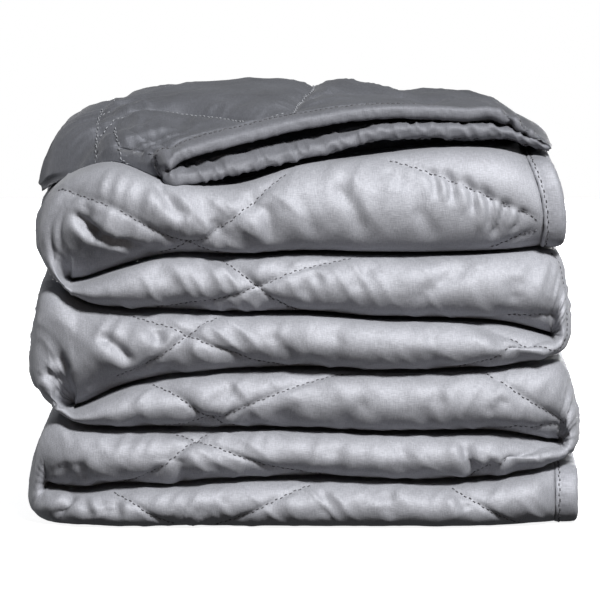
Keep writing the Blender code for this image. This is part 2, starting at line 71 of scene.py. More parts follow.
# The rounded front of a layer, and its back, where two creases lie with a slit between them
FRONT_CROWN = 23.0
FRONT_SQUARENESS = 2.25
BACK_CROWN = 11.0
BACK_SLIT_DEPTH = 34.0
BACK_SLIT_GAP = 1.6
BACK_SLIT_LIMIT = 0.3  # of half the gap, as a share of half the layer's height
CORNER_SET_BACK = 23.0  # how far the stack's upright corners fall back from its front
CORNER_POWER = 7
CROWN_DROOP = 6.5  # how far the lower half of a layer's front falls back
BOTTOM_DROOP = 0.3  # of that, in the lowest layer
DROOP_POWER = 1.5
FRONT_POINTS = 47
BACK_ANGLES = np.radians(np.linspace(90, -90, 7))
# Points along each flat side of a section: on the outside of the left folds, and on the other
LAYER_SIDE_POINTS = (6, 6)
LEFT_FOLD_SIDE_POINTS = (36, 4)
RIGHT_FOLD_SIDE_POINTS = (4, 36)

# Heights of the lines between the layers, seen from the front, at these places across the stack.
# left and right say where a line ends: at the tip of the fold that closes it, or at the open side.
LINE_X = (-156, -130, -110, -80, -40, 0, 40, 80, 115, 150)
LINES = (
    # name, heights at LINE_X, left, right
    ("top", (184, 202, 208, 200, 197, 208, 213, 217, 215.5, 204), -153, 129),
    ("gap_1", (138, 141, 148, 156, 156, 158, 157, 157, 158, 161), -136, 134),
    ("gap_2", (146, 129, 125, 124, 123, 123, 120, 119, 116, 105), -153, 140),
    ("gap_3", (62, 68, 78, 86, 90, 91, 90, 90, 92, 97), -133, 150),
    ("gap_4", (73, 58, 56, 56, 56, 56, 54, 54, 53, 45), -158, 147),
    ("gap_5", (24, 20, 23, 24, 27, 28, 27, 26, 28, 35), -147, 156),
    ("floor", (0, 0, 0, 0, 0, 0, 0, 0, 0, 0), -155, 145),
)
FORWARD = (1.0, -1.5, 0.5, -1.0, 0.0, 2.0)  # how far each layer stands forward of the others
QUILTING_LINES = (
    # for each layer, where a line that climbs to the right crosses the middle of its front, and the
    # line's slope there, and the same for a line that falls
    (-44, 0.75, -98, 0.60),
    (-29, 0.42, -29, 1.10),
    (-78, 0.80, -56, 0.56),
    (-29, 0.45, -67, 0.90),
    (-76, 0.95, -35, 0.52),
    (-23, 0.62, -91, 0.88),
)
LAYER_COUNT = len(FORWARD)
DIAMOND_LENGTH = 195.0  # of the quilting, along the strip
SEAM_DEPTH = 1.2
SEAM_HALF_WIDTH = 6.0
PUFF_HEIGHT = 1.6
PUFF_REACH = 34.0
PLAIN_END = 12.0  # the relief fades out this near the strip's bound ends
FREE_TILT = 0.6  # a fold's ribs that lean less than this are pressed on by the next layer
FULL_RELIEF_HALF = 12.0  # where half the layer's height is less than this, its relief is less too
SHOWN_POWERS = (6, 3)  # how late the relief fades towards a layer's faces, and in the lowest layer
SIDE_RELIEF_X = 122.0  # beyond this the outer faces of the folds have relief too
SIDE_RELIEF_EASE = 22.0
PLAIN_FROM_X = 75.0  # right of this the top layer has no random puckers, only placed creases
PLAIN_EASE = 20.0
PLAIN_WRINKLES = 0.4  # of the wrinkles' depth there

# The turned-over edge on top: a row for each front-to-back line across it, from its left crease.
# Heights are those of the middle of each of its two layers at the front hem, and of the top face
# at mid depth and at the back.
TURNED_EDGE_COLUMNS = (
    "share", "front_x", "front_y", "low_z", "high_z", "mid_x", "mid_z", "back_x", "back_z",
)
TURNED_EDGE = (
    (0.00, -78, -147, 205, 205, -153, 188, -149, 186),
    (0.10, -73, -144, 200, 212, -151, 203, -147, 196),
    (0.20, -67, -142, 201, 215, -138, 220, -134, 206),
    (0.32, -56, -140, 202, 218, -109, 236, -106, 215),
    (0.45, -35, -137, 207, 223, -71, 242, -70, 219),
    (0.60, 4, -132, 215, 232, -11, 244, -12, 221),
    (0.75, 49, -127, 226, 238, 45, 239, 43, 218),
    (0.88, 94, -124, 227, 237, 95, 226, 92, 213),
    (0.95, 118, -122, 226, 235, 122, 223, 119, 208),
    (1.00, 144, -119, 216, 216, 146, 212, 140, 203),
)
TURNED_EDGE_SEAMS = (
    # places x and y along each quilting line across it
    ((-119, -87), (-106, -78), (-89, -74), (-68, -80), (-45, -96), (-20, -116), (-7, -117)),
    ((-7, -118), (-1, -64), (6, -13), (4, 60), (4, 138)),
    ((-109, -83), (-108, -98), (-105, -110), (-97, -119)),
    ((-119, -101), (-119, -70), (-112, -20), (-92, 60), (-70, 138)),
    ((-119, -64), (-109, -61), (-104, -55)),
    ((0, 15), (60, 58), (136, 110)),
    ((4, 60), (-60, 100), (-118, 132)),
    ((-1, -64), (48, -30), (90, 10), (132, 40)),
)
TURNED_EDGE_CREASES = (
    # depth, half width, and the line's places in view coordinates
    (0.7, 2.4, ((-99, 236), (-98, 226), (-93, 214), (-86, 205))),
    (0.7, 2.4, ((-91, 235), (-91, 226), (-87, 215), (-82, 206))),
    (0.5, 2.4, ((-84, 232), (-84, 225), (-81, 216), (-78, 208))),
    (4.5, 7.0, ((-82, 233), (-70, 232), (-50, 231), (-28, 228))),
    (1.6, 6.0, ((20, 251), (50, 248), (85, 243))),
)
TURNED_HEM_CREASES = (
    (2.6, 1.8, ((113, 243), (117, 235), (119, 227))),
    (2.8, 1.8, ((123, 239), (126, 231), (128, 223))),
    (2.6, 1.8, ((131, 233), (134, 226), (135, 219))),
)
CLOTH_THICKNESS = 8.0
HEM_CLEARANCE = 1.4  # between the lower hem and the layer that it lies on
EDGE_ROUND_SHARE = 0.035
ROLL_WIDTH = 20.0  # of the rounding of its left crease, and near the hem
ROLL_WIDTH_AT_HEM = 5.0
END_ROUND_SHARE = 0.14
EDGE_ROUND_SHARES = (0.001, 0.003, 0.006, 0.012, 0.02, 0.03, 0.04, 0.99, 0.995, 0.998)
HEM_STEPS = tuple(np.linspace(1.5, 34, 26))
EDGE_Y = tuple(np.linspace(-30, 128, 40)) + (130.0, 132.0, 134.0, 136.0, 137.5, 139.0, 140.0)
KNEE_STEPS = 34
MOUTH_STEPS = 16
TURNED_BACK_Y = 140.0
TURNED_KNEE_Y = -58.0
TURNED_CREST_Y = -5.0
BACK_ROUND = 10.0
ROUNDED_SHARE = 0.98  # how round its back is
MOUTH_DEPTH = 85.0  # of the opening between its two hems, times the opening at these shares
MOUTH_OPENING_SHARES = (0.12, 0.2, 0.29, 0.36, 0.91, 0.94, 0.97)
MOUTH_OPENING = (0, 0.27, 0.78, 1, 1, 0.5, 0)
MOUTH_CLOSING = 0.4  # how much of the opening's height closes towards its bottom, from each side
UNDER_HEM = 26.0  # this far behind the hem the turned edge begins to grow out of the layer under it
SUNK_INTO_TOP = 9.0
SUNK_TO_X = 108.0
SINK_EASE = 10.0
EDGE_STEP = 1.5
ROLL_EASE = 30.0
# The turned-over edge's relief begins behind its hem, and fades out near its other borders
RELIEF_FROM_HEM = 9.0
LEFT_FADE_SHARE = 0.06
RIGHT_FADE_SHARE = 0.1
BACK_FADE = 20.0

# The binding: a folded strip sewn over the raw edges
BINDING_WIDTH = 13.5
BACK_CREASE_INSET = 4.0  # the binding turns this far short of the back creases
BACK_CREASE_REACH = 14.0
BACK_CREASE_ANGLES = np.radians((-60, -20, 20, 60))
PLY_GAP = 0.03  # between plies, as a share of half the layer's height
PLY_SHARE = 0.45  # thickness of one ply of a folded layer, as a share of half the layer's height
BINDING_TURN_SHARE = 0.06
BINDING_TURN_ANGLES = np.radians(np.linspace(0, 180, 13)[1:-1])
TURN_REACH = 0.7  # how far its turn stands out, for half the height between the two hems
TURN_PINCH = 5.0  # how far the middle of the turn falls back
BINDING_SECTION = np.array((  # depth, width
    (0.03, 0), (0, 0.06), (-0.02, 0.12), (0.02, 0.18), (-0.02, 0.3), (-0.02, 0.5), (0, 0.7),
    (0.04, 0.86), (0.15, 0.96), (0.32, 1), (0.5, 1), (0.68, 1), (0.85, 0.96), (0.96, 0.86),
    (1, 0.7), (1.02, 0.5), (1.02, 0.3), (0.98, 0.18), (1.02, 0.12), (1, 0.06), (0.97, 0),
))
SECTION_DEPTHS, SECTION_WIDTHS = BINDING_SECTION.T

# Creases pressed into the front: layer, depth, half width and the line, in view coordinates
CREASES = (
    (0, 2.8, 3.4, ((-86, 198), (-80, 190), (-72, 181), (-65, 175))),
    (0, 5, 2.6, ((-134, 181), (-130, 178), (-124, 172), (-118, 167), (-109, 163), (-98, 161),
        (-85, 158))),
    (0, 2, 3.0, ((-128, 184), (-122, 180), (-117, 175))),
    (0, 1.6, 1.8, ((-128, 201), (-138, 184), (-143, 172), (-142, 153), (-138, 141))),
    (0, 1.4, 1.8, ((-121, 203), (-132, 188), (-138, 174), (-138, 155))),
    (0, 2.6, 2.0, ((79, 206), (83, 200), (85, 193), (84, 184))),
    (0, 2.4, 2.0, ((90, 201), (95, 195), (97, 187), (96, 178))),
    (0, 3.0, 2.2, ((100, 196), (106, 188), (107, 178), (103, 167))),
    (0, 3.6, 2.4, ((116, 189), (115, 180), (111, 171), (107, 164))),
    (0, 2.2, 2.0, ((127, 183), (124, 175), (119, 168))),
    (0, 1.8, 2.4, ((71, 206), (75, 198), (76, 187))),
    (0, 1.8, 4.5, ((15, 197), (24, 189), (30, 180), (34, 166))),
    (0, 1.3, 4, ((48, 206), (54, 201), (59, 193))),
    (0, 1.4, 3.6, ((-32, 193), (-29, 187), (-26, 179))),
    (0, 2, 3.8, ((-23, 187), (-19, 174), (-20, 162))),
    (0, 1.6, 3.6, ((-52, 177), (-49, 171), (-44, 162))),
    (0, 1.3, 4.5, ((63, 184), (71, 174), (76, 164))),
    (0, 1.2, 4, ((-2, 193), (1, 180), (9, 166))),
    (1, 2, 5, ((100, 152), (85, 144), (71, 135), (61, 128))),
    (1, 1.6, 4.5, ((11, 146), (4, 139), (-1, 131))),
    (1, 1.4, 4.5, ((44, 152), (35, 144), (31, 132))),
    (1, 1.4, 4.5, ((-87, 148), (-76, 141), (-71, 133))),
    (1, 1.3, 4, ((124, 144), (119, 136), (121, 127))),
    (2, 3.2, 3, ((-117, 111), (-111, 107), (-106, 103), (-96, 93))),
    (2, 2, 3.2, ((-84, 114), (-83, 109), (-81, 104))),
    (2, 2.2, 3, ((-140, 99), (-137, 95), (-133, 89))),
    (2, 2, 3.0, ((-148, 90), (-143, 87), (-136, 83))),
    (2, 1.4, 4.5, ((15, 115), (20, 104), (18, 93))),
    (2, 1.2, 4.5, ((69, 113), (74, 103), (71, 95))),
    (2, 1.3, 3.5, ((-20, 113), (-13, 104), (-2, 96))),
    (2, 1.5, 2.4, ((137, 104), (141, 100), (142, 95))),
    (3, 1.5, 4.5, ((-54, 71), (-45, 75), (-36, 79))),
    (3, 1.6, 4.5, ((23, 57), (29, 66), (38, 73))),
    (3, 1.8, 3.5, ((105, 64), (111, 70), (117, 74))),
    (3, 1.4, 4.5, ((-20, 59), (-7, 66), (-2, 74))),
    (3, 1.3, 4.5, ((67, 59), (72, 68), (83, 75))),
    (3, 2.4, 2.8, ((140, 50), (146, 52), (152, 55))),
    (4, 2.6, 4, ((-137, 38), (-133, 31), (-129, 24))),
    (4, 1.8, 3.2, ((-129, 39), (-127, 33), (-124, 26))),
    (4, 2, 3.6, ((-71, 41), (-70, 34), (-66, 27))),
    (4, 3.8, 3, ((92, 51), (94, 41), (97, 34), (103, 30))),
    (4, 2.2, 2.8, ((103, 29), (107, 35), (110, 41))),
    (4, 1.4, 4.5, ((15, 47), (20, 39), (18, 30))),
    (4, 1.3, 4.5, ((53, 49), (58, 40), (55, 30))),
    (4, 1.5, 2.4, ((136, 43), (139, 39), (140, 35))),
    (5, 5.5, 2.4, ((-129, 21), (-135, 13), (-141, 5))),
    (5, 2, 2.8, ((-125, 18), (-123, 12), (-120, 5))),
    (5, 2, 2.8, ((-117, 19), (-114, 13), (-111, 6))),
    (5, 1.8, 2.8, ((-108, 17), (-106, 11), (-103, 5))),
    (5, 1.8, 3, ((87, 22), (90, 16), (94, 9))),
    (5, 1.5, 4.5, ((44, 22), (51, 14), (48, 5))),
    (5, 1.4, 4.5, ((-46, 21), (-50, 13), (-56, 5))),
    (5, 1.4, 4, ((9, 23), (13, 14), (11, 5))),
)
# Hollows in the front: layer, depth, softness of the edge, and the outline in view coordinates
HOLLOWS = (
    (0, 5, 6, ((-130, 179), (-123, 178), (-116, 168), (-120, 164), (-126, 170))),
    (0, 6, 20, ((-128, 165), (-116, 162), (-103, 158), (-86, 157), (-100, 151), (-120, 140),
        (-139, 135), (-136, 152))),
    (2, 6, 22, ((-140, 81), (-136, 80), (-127, 84), (-116, 89), (-97, 85), (-77, 89), (-87, 81),
        (-110, 75), (-127, 67), (-144, 60), (-149, 72))),
    (2, 5, 14, ((95, 120), (124, 120), (139, 108), (123, 97), (112, 104))),
    (4, 5, 14, ((112, 56), (131, 56), (139, 45), (121, 34), (111, 44))),
)
END_SEAM_SHIFT = 17.0  # the last falling seam lies this much nearer the top end than the others
END_SEAM_FADE = 130.0
STITCH_DEPTH = 1.3
STITCH_WIDTH = 1.6
PUCKER_HEIGHT = 2.0
PUCKER_PITCH = 9.0
PUCKER_REACH = 11.0
BROAD_LENGTH = 60.0  # of the broad wrinkles, which are everywhere; the others come in patches
WRINKLE_LEVEL = 0.4  # of its ridges that is level with the plain surface
PUCKER_LEVEL = 0.35
PUCKERED_WITHIN = 60.0  # of a seam
WRINKLES = (
    # lean, pitch, seed, height, how much they wander, over how far across and along, and length
    (0.35, 27, 12, 2.4, 0.7, 41, 70, BROAD_LENGTH),
    (-0.45, 33, 22, 2.4, 0.7, 41, 70, BROAD_LENGTH),
    (0.5, 11, 14, 1.4, 0.8, 23, 40, 34),
    (-0.3, 14, 24, 1.4, 0.8, 23, 40, 34),
)
BACK_WRINKLES = 0.7  # of their depth in front
CREASE_STRENGTH = 1.25  # of those in the front, for the depth that the table gives
CREASE_TAPER = 0.25  # share of its length over which a crease fades in, and out again
CREASE_SWELLING = 0.45  # height of the swelling beside a crease, for its depth
CREASE_SWELLING_LIMIT = 1.2  # on that height
CREASE_SWELLING_AT = 2.2  # how far off the swelling lies, in half widths of the crease
CREASE_SWELLING_WIDTH = 1.6
NEAR_LAYER = 0.75  # a crease or hollow shapes the ribs this near its layer, counted in layers
TOP_PUFF_HEIGHT = 3.0
TOP_PUFF_LEVEL = 0.75  # of it that is level with the plain surface
TOP_WRINKLES = 0.8  # of the other layers' wrinkles
ROLLED_QUILTING = 0.5  # how much of the quilting the rolled part lacks, and of the wrinkles
ROLLED_LACK = 0.8
TOP_SEAM_DEPTH = 1.6
ROLL_WRINKLES = 4.0
ROLL_WRINKLE_PITCH = 8.0
ROLLED_TO_SHARE = 0.42  # the turned edge's rolled left part ends at this share
ROLLED_EASE = 0.2
HEM_GATHERS = 0.5
TURNED_HEM_GATHERS = (0.7, 2.6)  # of its upper hem and its lower one
HEM_GATHER_PITCH = 5.0
HEM_GATHER_REACH = 10.0  # behind the hem, in the quilt
HEM_TURN = (0.45, 0.55)  # shares of a hem's length where its first half ends and its second begins
SECTION_SPACING = 2.2  # of the points round a hem's section
SMOOTHER_EDGE = 0.35  # how much of its gathers a hem lacks at its outer edge
HEM_STEP = 1.0

SEWING_WIDTH = 0.18  # the lines of sewing on the binding, as a share of its width from the quilt
STITCH_PITCH = 3.0
NEAREST_POINTS = 5  # of the turned edge's grid, that carry a place on a seam
STITCHED_SHOWN = 0.25  # a seam is stitched where at least this much of its relief shows
# A seam has passed out of sight where it runs on by more than the first of these, and by more
# than the second times the way across; or about as far as that along the strip
SEAM_BREAK = 7.0
SEAM_SLANT = 2.6
STITCH_SHARE = 0.8  # of the pitch, that a stitch fills
STITCH_HALF_WIDTH = 0.36
STITCH_LIFT = 0.35
STITCH_WOBBLE = 0.9  # how far the stitches lie to one side and the other, in half widths
STITCH_SINK = 0.5  # how deep its two ends are in the cloth
STITCH_SHOULDERS = (-0.55, 0.55)  # places of a stitch's full width, in half lengths

CAMERA_ELEVATION = math.radians(6)
CAMERA_DISTANCE = 3.4  # this and the two below in metres
FRAME_WIDTH = 0.342  # of the picture, on the plane of the stack's front
AIM = (-0.0017, -0.151, 0.1325)
VIEW_CENTRE_Z = 130.0


def smooth_through(at, places, values):
    """Like np.interp, but on a smooth curve that runs on straight past its ends."""
    at, places, values = (np.asarray(a, float) for a in (at, places, values))
    slopes = np.gradient(values, places)
    i = np.clip(np.searchsorted(places, at) - 1, 0, len(places) - 2)
    span = places[i + 1] - places[i]
    t = (at - places[i]) / span
    inside = np.clip(t, 0, 1)
    a, b = values[i], values[i + 1]
    hermite = (
        a * (1 + 2 * inside) * (1 - inside) ** 2
        + slopes[i] * span * inside * (1 - inside) ** 2
        + b * inside**2 * (3 - 2 * inside)
        - slopes[i + 1] * span * inside**2 * (1 - inside)
    )
    before = np.where(t < 0, t * span * slopes[i], 0)
    return hermite + np.where(t > 1, (t - 1) * span * slopes[i + 1], before)


def ease(t):
    t = np.clip(t, 0, 1)
    return t * t * (3 - 2 * t)


def bell(distance, width):
    return np.exp(-((distance / width) ** 2))


def lengths_along(points):
    """How far along a polyline each of its points is."""
    return np.concatenate(([0], np.cumsum(np.linalg.norm(np.diff(points, axis=0), axis=1))))


def read_along(at, run, points, read=np.interp):
    """The points of a polyline, or of a smooth line, at the given lengths along it."""
    return np.stack([read(at, run, column) for column in np.transpose(points)], axis=1)


def resampled(points, count):
    """The same polyline with its points evenly spaced."""
    run = lengths_along(points)
    return read_along(np.linspace(0, run[-1], count), run, points)


def boxy(angles, squareness):
    """Sines and cosines on a curve that is a circle for a squareness of 2, and boxier for more."""
    waves = np.stack([np.sin(angles), np.cos(angles)])
    return np.sign(waves) * np.abs(waves) ** (2 / squareness)


def front_angles():
    """Angles round the rounded front whose points are evenly spaced over it."""
    fine = np.radians(np.linspace(-90, 90, 721))
    along = lengths_along(boxy(fine, FRONT_SQUARENESS).T)
    return np.interp(np.linspace(0, along[-1], FRONT_POINTS), along, fine)


def line_height(number, x):
    return smooth_through(x, LINE_X, LINES[number][1])


def face_height(number, x, side):
    """Height of a layer's face along a line: side is 1 for the face above it and -1 for the other."""
    if LINES[number][0] in ("top", "floor"):
        return line_height(number, x)
    return line_height(number, x) + side * CREASE_GAP / 2


def face_points(number, x, side):
    return np.stack([x, face_height(number, x, side)], axis=1)


def fold_outside(above, below, side):
    """The outer face of a fold on that side, from the line above it to the one below."""
    reach = LINES[below][2 if side < 0 else 3]
    start = reach - side * FOLD_ROUND_X
    across, share = boxy(np.linspace(0, math.pi, 49), FOLD_SQUARENESS[above])
    x = start + side * FOLD_ROUND_X * across * (1 + FOLD_LEANS[above] * share)
    top, bottom = face_height(above, x, -1), face_height(below, x, 1)
    curve = np.stack([x, (top + bottom) / 2 + share * (top - bottom) / 2], axis=1)
    run_in = np.linspace(side * LAYER_JOIN_X, start, 60)[:-1]
    over, under = face_points(above, run_in, -1), face_points(below, run_in, 1)
    return np.concatenate([over, curve, under[::-1]])


def fold_ribs(above, below, side, step):
    """Ribs through a fold: straight across as far as the slit's tip, then fanned round that tip."""
    outside = fold_outside(above, below, side)
    tip_x = LINES[above + 1][2 if side < 0 else 3]
    tip = np.array((tip_x, line_height(above + 1, tip_x)))
    beyond = side * outside[:, 0] > side * tip_x
    first, last = np.flatnonzero(beyond)[[0, -1]]
    count = max(2, round(abs(tip_x - side * LAYER_JOIN_X) / step))
    x = np.linspace(side * LAYER_JOIN_X, tip_x, count + 1)[1:]
    over, under = (
        np.stack([x, np.interp(side * x, side * part[:, 0], part[:, 1])], axis=1)
        for part in (outside[:first], outside[:last:-1])
    )
    arc = np.concatenate([over[-1:], outside[first : last + 1], under[-1:]])
    arc = resampled(arc, max(6, round(lengths_along(arc)[-1] / step)) + 1)[1:-1]
    around = arc - tip
    around = around / np.linalg.norm(around, axis=1, keepdims=True)
    outer = np.concatenate([over, arc, under[::-1]])
    slit = [face_points(above + 1, x, way) for way in (1, -1)]
    inner = np.concatenate([slit[0], tip + around * CREASE_GAP / 2, slit[1][::-1]])
    return outer[:-1], inner[:-1]


def strip_ribs(step):
    """The strip's two faces as matching points, with each rib's place among the layers.

    The outer face is the one on the outside of the left-hand folds.
    """
    outer, inner, layer = [], [], []
    for k in range(LAYER_COUNT):
        side = -1 if k % 2 == 0 else 1
        start = -side * LAYER_JOIN_X
        top_start, low_start = (LINES[0][3], LINES[1][3]) if k == 0 else (start, start)
        end = LINES[-1][3] if k == LAYER_COUNT - 1 else side * LAYER_JOIN_X
        count = round(abs(end - top_start) / step) + 1
        above = face_points(k, np.linspace(top_start, end, count), -1)
        below = face_points(k + 1, np.linspace(low_start, end, count), 1)
        faces = [(above, below)]
        places = [np.full(count, float(k))]
        if k < LAYER_COUNT - 1:
            faces.append(fold_ribs(k, k + 2, side, step))
            places.append(k + np.linspace(0, 1, len(faces[1][0]) + 1)[1:])
        outer += [pair[k % 2] for pair in faces]
        inner += [pair[1 - k % 2] for pair in faces]
        layer += places
    return np.concatenate(outer), np.concatenate(inner), np.concatenate(layer)


def front_of(middle_x, layer):
    """How far forward (to -Y) the crown of a rib reaches."""
    forward = np.interp(layer, range(LAYER_COUNT), FORWARD)
    set_back = CORNER_SET_BACK * np.abs(middle_x / HALF_LENGTH) ** CORNER_POWER
    return -(HALF_DEPTH + forward) + set_back


def ring_shape(half, front_y, side_points):
    """A section of the folded strip: for each rib, shares from face (-1) to face (1), and y."""
    count = len(half)
    front = boxy(front_angles(), FRONT_SQUARENESS)
    columns = [(np.full(count, c), front_y + FRONT_CROWN * (1 - b)) for c, b in front.T]
    slit = np.minimum(BACK_SLIT_LIMIT, BACK_SLIT_GAP / 2 / half)
    crown_start = BACK_DEPTH - BACK_CROWN
    flat = crown_start - front_y - FRONT_CROWN
    sides = []
    for points in side_points:
        shares = np.linspace(0, 1, points + 2)[1:-1]
        sides.append([front_y + FRONT_CROWN + flat * s for s in shares])
    columns += [(np.ones(count), y) for y in sides[0]]
    creases = [[], []]
    for angle in BACK_ANGLES:
        offset = (0.5 - slit / 2) * math.sin(angle)
        back = np.full(count, crown_start + BACK_CROWN * math.cos(angle))
        creases[0].append((0.5 + slit / 2 + offset, back))
        creases[1].append((-0.5 - slit / 2 + offset, back))
    slit_end = (np.zeros(count), np.full(count, crown_start - BACK_SLIT_DEPTH))
    columns += creases[0] + [slit_end] + creases[1]
    columns += [(-np.ones(count), y) for y in sides[1][::-1]]
    return np.stack([c for c, _ in columns], axis=1), np.stack([y for _, y in columns], axis=1)


def end_bow(run):
    """How far a rib bows outwards, a given length along the strip from its top end."""
    return END_BOW * bell(run, END_BOW_FADE)


def quilt_phase(run, middle_x, layer):
    """Where each family of quilting lines crosses the middle of a layer, with its slope."""
    rows = []
    for k, (climb_x, climb_slope, fall_x, fall_slope) in enumerate(QUILTING_LINES):
        on = layer == k
        order = np.argsort(middle_x[on])
        climb, fall = np.interp((climb_x, fall_x), middle_x[on][order], run[on][order])
        if rows:
            climb += DIAMOND_LENGTH * round((rows[-1][0] - climb) / DIAMOND_LENGTH)
            fall += DIAMOND_LENGTH * round((rows[-1][2] - fall) / DIAMOND_LENGTH)
        rows.append((climb, climb_slope, fall, fall_slope))
    part = layer - np.floor(layer)
    return read_along(np.floor(layer) + ease(part), range(len(rows)), rows).T


def seam_families(run, across, phase):
    """For each family of lines: turns from them, distance from the nearest, and place along it."""
    climb, climb_slope, fall, fall_slope = (p[:, None] for p in phase)
    found = []
    for middle, slope, way in ((climb, climb_slope, -1), (fall, fall_slope, 1)):
        turns = (run - (middle + way * across / slope)) / DIAMOND_LENGTH
        apart = (turns - np.round(turns)) * DIAMOND_LENGTH * slope / np.hypot(1, slope)
        found.append((turns, apart, (slope * across + way * run) / np.hypot(1, slope)))
    return found


def puckers(crests, distance):
    """Height of the puckers that far from the seam that gathers them."""
    reach = distance / PUCKER_REACH
    return PUCKER_HEIGHT * (crests - PUCKER_LEVEL) * reach * np.exp(1 - reach)


def quilting(families, loose):
    """Height of the quilting: grooves at its seams, puckers beside them and puffs between."""
    distance = np.minimum(*(np.abs(apart) for _, apart, _ in families))
    height = PUFF_HEIGHT * ease(distance / PUFF_REACH)
    for n, (turns, apart, along) in enumerate(families):
        near = np.abs(apart)
        height -= STITCH_DEPTH * bell(near, STITCH_WIDTH) + SEAM_DEPTH * bell(near, SEAM_HALF_WIDTH)
        which = np.round(turns)
        place = along / PUCKER_PITCH + 7.3 * which + apart / 60
        crests = ridges(place, apart / 90 + 3.1 * which, 3 + n)
        height += loose * puckers(crests, near) * (near < PUCKERED_WITHIN)
    return height


def hashed(i, j, seed):
    value = np.sin(i * 127.1 + j * 311.7 + seed * 74.7) * 43758.5453
    return value - np.floor(value)


def noise(u, v, seed):
    """Smooth noise from -1 to 1 over a plane, with one bump to a unit."""
    u, v = np.broadcast_arrays(u, v)
    i, j = np.floor(u), np.floor(v)
    s, t = ease(u - i), ease(v - j)
    low = hashed(i, j, seed) * (1 - s) + hashed(i + 1, j, seed) * s
    high = hashed(i, j + 1, seed) * (1 - s) + hashed(i + 1, j + 1, seed) * s
    return 2 * (low * (1 - t) + high * t) - 1


def ridges(u, v, seed):
    """Noise from 0 to 1 whose crests are narrow, like wrinkles."""
    return (1 - np.abs(noise(u, v, seed))) ** 2


def line_distance(points, x, z):
    """Signed distances of places from a smooth line through points, and their shares along it."""
    run = lengths_along(points)
    smooth = read_along(np.linspace(0, run[-1], 6 * (len(points) - 1)), run, points, smooth_through)
    best, signed, share = np.full(np.shape(x), np.inf), np.zeros(np.shape(x)), np.zeros(np.shape(x))
    for n, (a, b) in enumerate(zip(smooth, smooth[1:])):
        dx, dz = b - a
        length = math.hypot(dx, dz)
        t = ((x - a[0]) * dx + (z - a[1]) * dz) / length**2
        inside = np.clip(t, 0, 1)
        distance = np.hypot(x - a[0] - inside * dx, z - a[1] - inside * dz)
        nearer = distance < best
        best = np.where(nearer, distance, best)
        side = np.sign((x - a[0]) * dz - (z - a[1]) * dx)
        signed = np.where(nearer, side * distance, signed)
        share = np.where(nearer, (n + inside) / (len(smooth) - 1), share)
    return signed, share


def crease_relief(depth, width, points, x, z):
    """A listed crease: a groove along a line, with a soft swelling on its right-hand side."""
    signed, share = line_distance(points, x, z)
    taper = ease(share / CREASE_TAPER) * ease((1 - share) / CREASE_TAPER)
    crest = bell(signed - CREASE_SWELLING_AT * width, CREASE_SWELLING_WIDTH * width)
    crest = min(CREASE_SWELLING * depth, CREASE_SWELLING_LIMIT) * crest
    return taper * (crest - depth * bell(signed, width))


def pressed_crease(depth, width, points, x, z):
    return CREASE_STRENGTH * crease_relief(depth, width, points, x, z)


def hollow(depth, softness, polygon, x, z):
    """A listed hollow, as deep as that inside the polygon and easing off over its outline."""
    polygon = np.array(polygon, float)
    best, inside = np.full(np.shape(x), np.inf), np.zeros(np.shape(x), bool)
    for (x1, z1), (x2, z2) in zip(polygon, np.roll(polygon, -1, axis=0)):
        dx, dz = x2 - x1, z2 - z1
        t = np.clip(((x - x1) * dx + (z - z1) * dz) / (dx * dx + dz * dz), 0, 1)
        best = np.minimum(best, np.hypot(x - x1 - t * dx, z - z1 - t * dz))
        if z1 != z2:
            crosses = (z1 > z) != (z2 > z)
            inside ^= crosses & (x < dx * (z - z1) / dz + x1)
    return -depth * ease(np.where(inside, best, -best) / softness + 0.5)


def seen(points):
    """View coordinates of points, which say where the camera sees them."""
    away = points - np.array(AIM) / METRES_PER_MM
    distance = CAMERA_DISTANCE / METRES_PER_MM
    sine, cosine = math.sin(CAMERA_ELEVATION), math.cos(CAMERA_ELEVATION)
    scale = distance / (distance + away[..., 1] * cosine - away[..., 2] * sine)
    up = away[..., 1] * sine + away[..., 2] * cosine
    return away[..., 0] * scale + AIM[0] / METRES_PER_MM, up * scale + VIEW_CENTRE_Z


def outward(points):
    """Unit normals of a grid of rings, pointing out of the tube."""
    along = np.gradient(points, axis=0)
    around = np.roll(points, -1, axis=1) - np.roll(points, 1, axis=1)
    normal = np.cross(around, along)
    return normal / np.maximum(np.linalg.norm(normal, axis=2, keepdims=True), 1e-9)


def wrinkles(run, across):
    """Soft wrinkles of the shell, which run across the layers and lean a little."""
    total = 0
    for lean, pitch, seed, height, wobble, wobble_across, wobble_run, length in WRINKLES:
        wander = wobble * noise(across / wobble_across, run / wobble_run, seed + 1)
        u = (run + lean * across) / pitch + wander
        patches = 1
        if length < BROAD_LENGTH:
            patches = ease(0.5 + noise(run / 50, across / 40, seed + 2))
        total = total + height / 2 * patches * (ridges(u, across / length, seed) - WRINKLE_LEVEL)
    return total


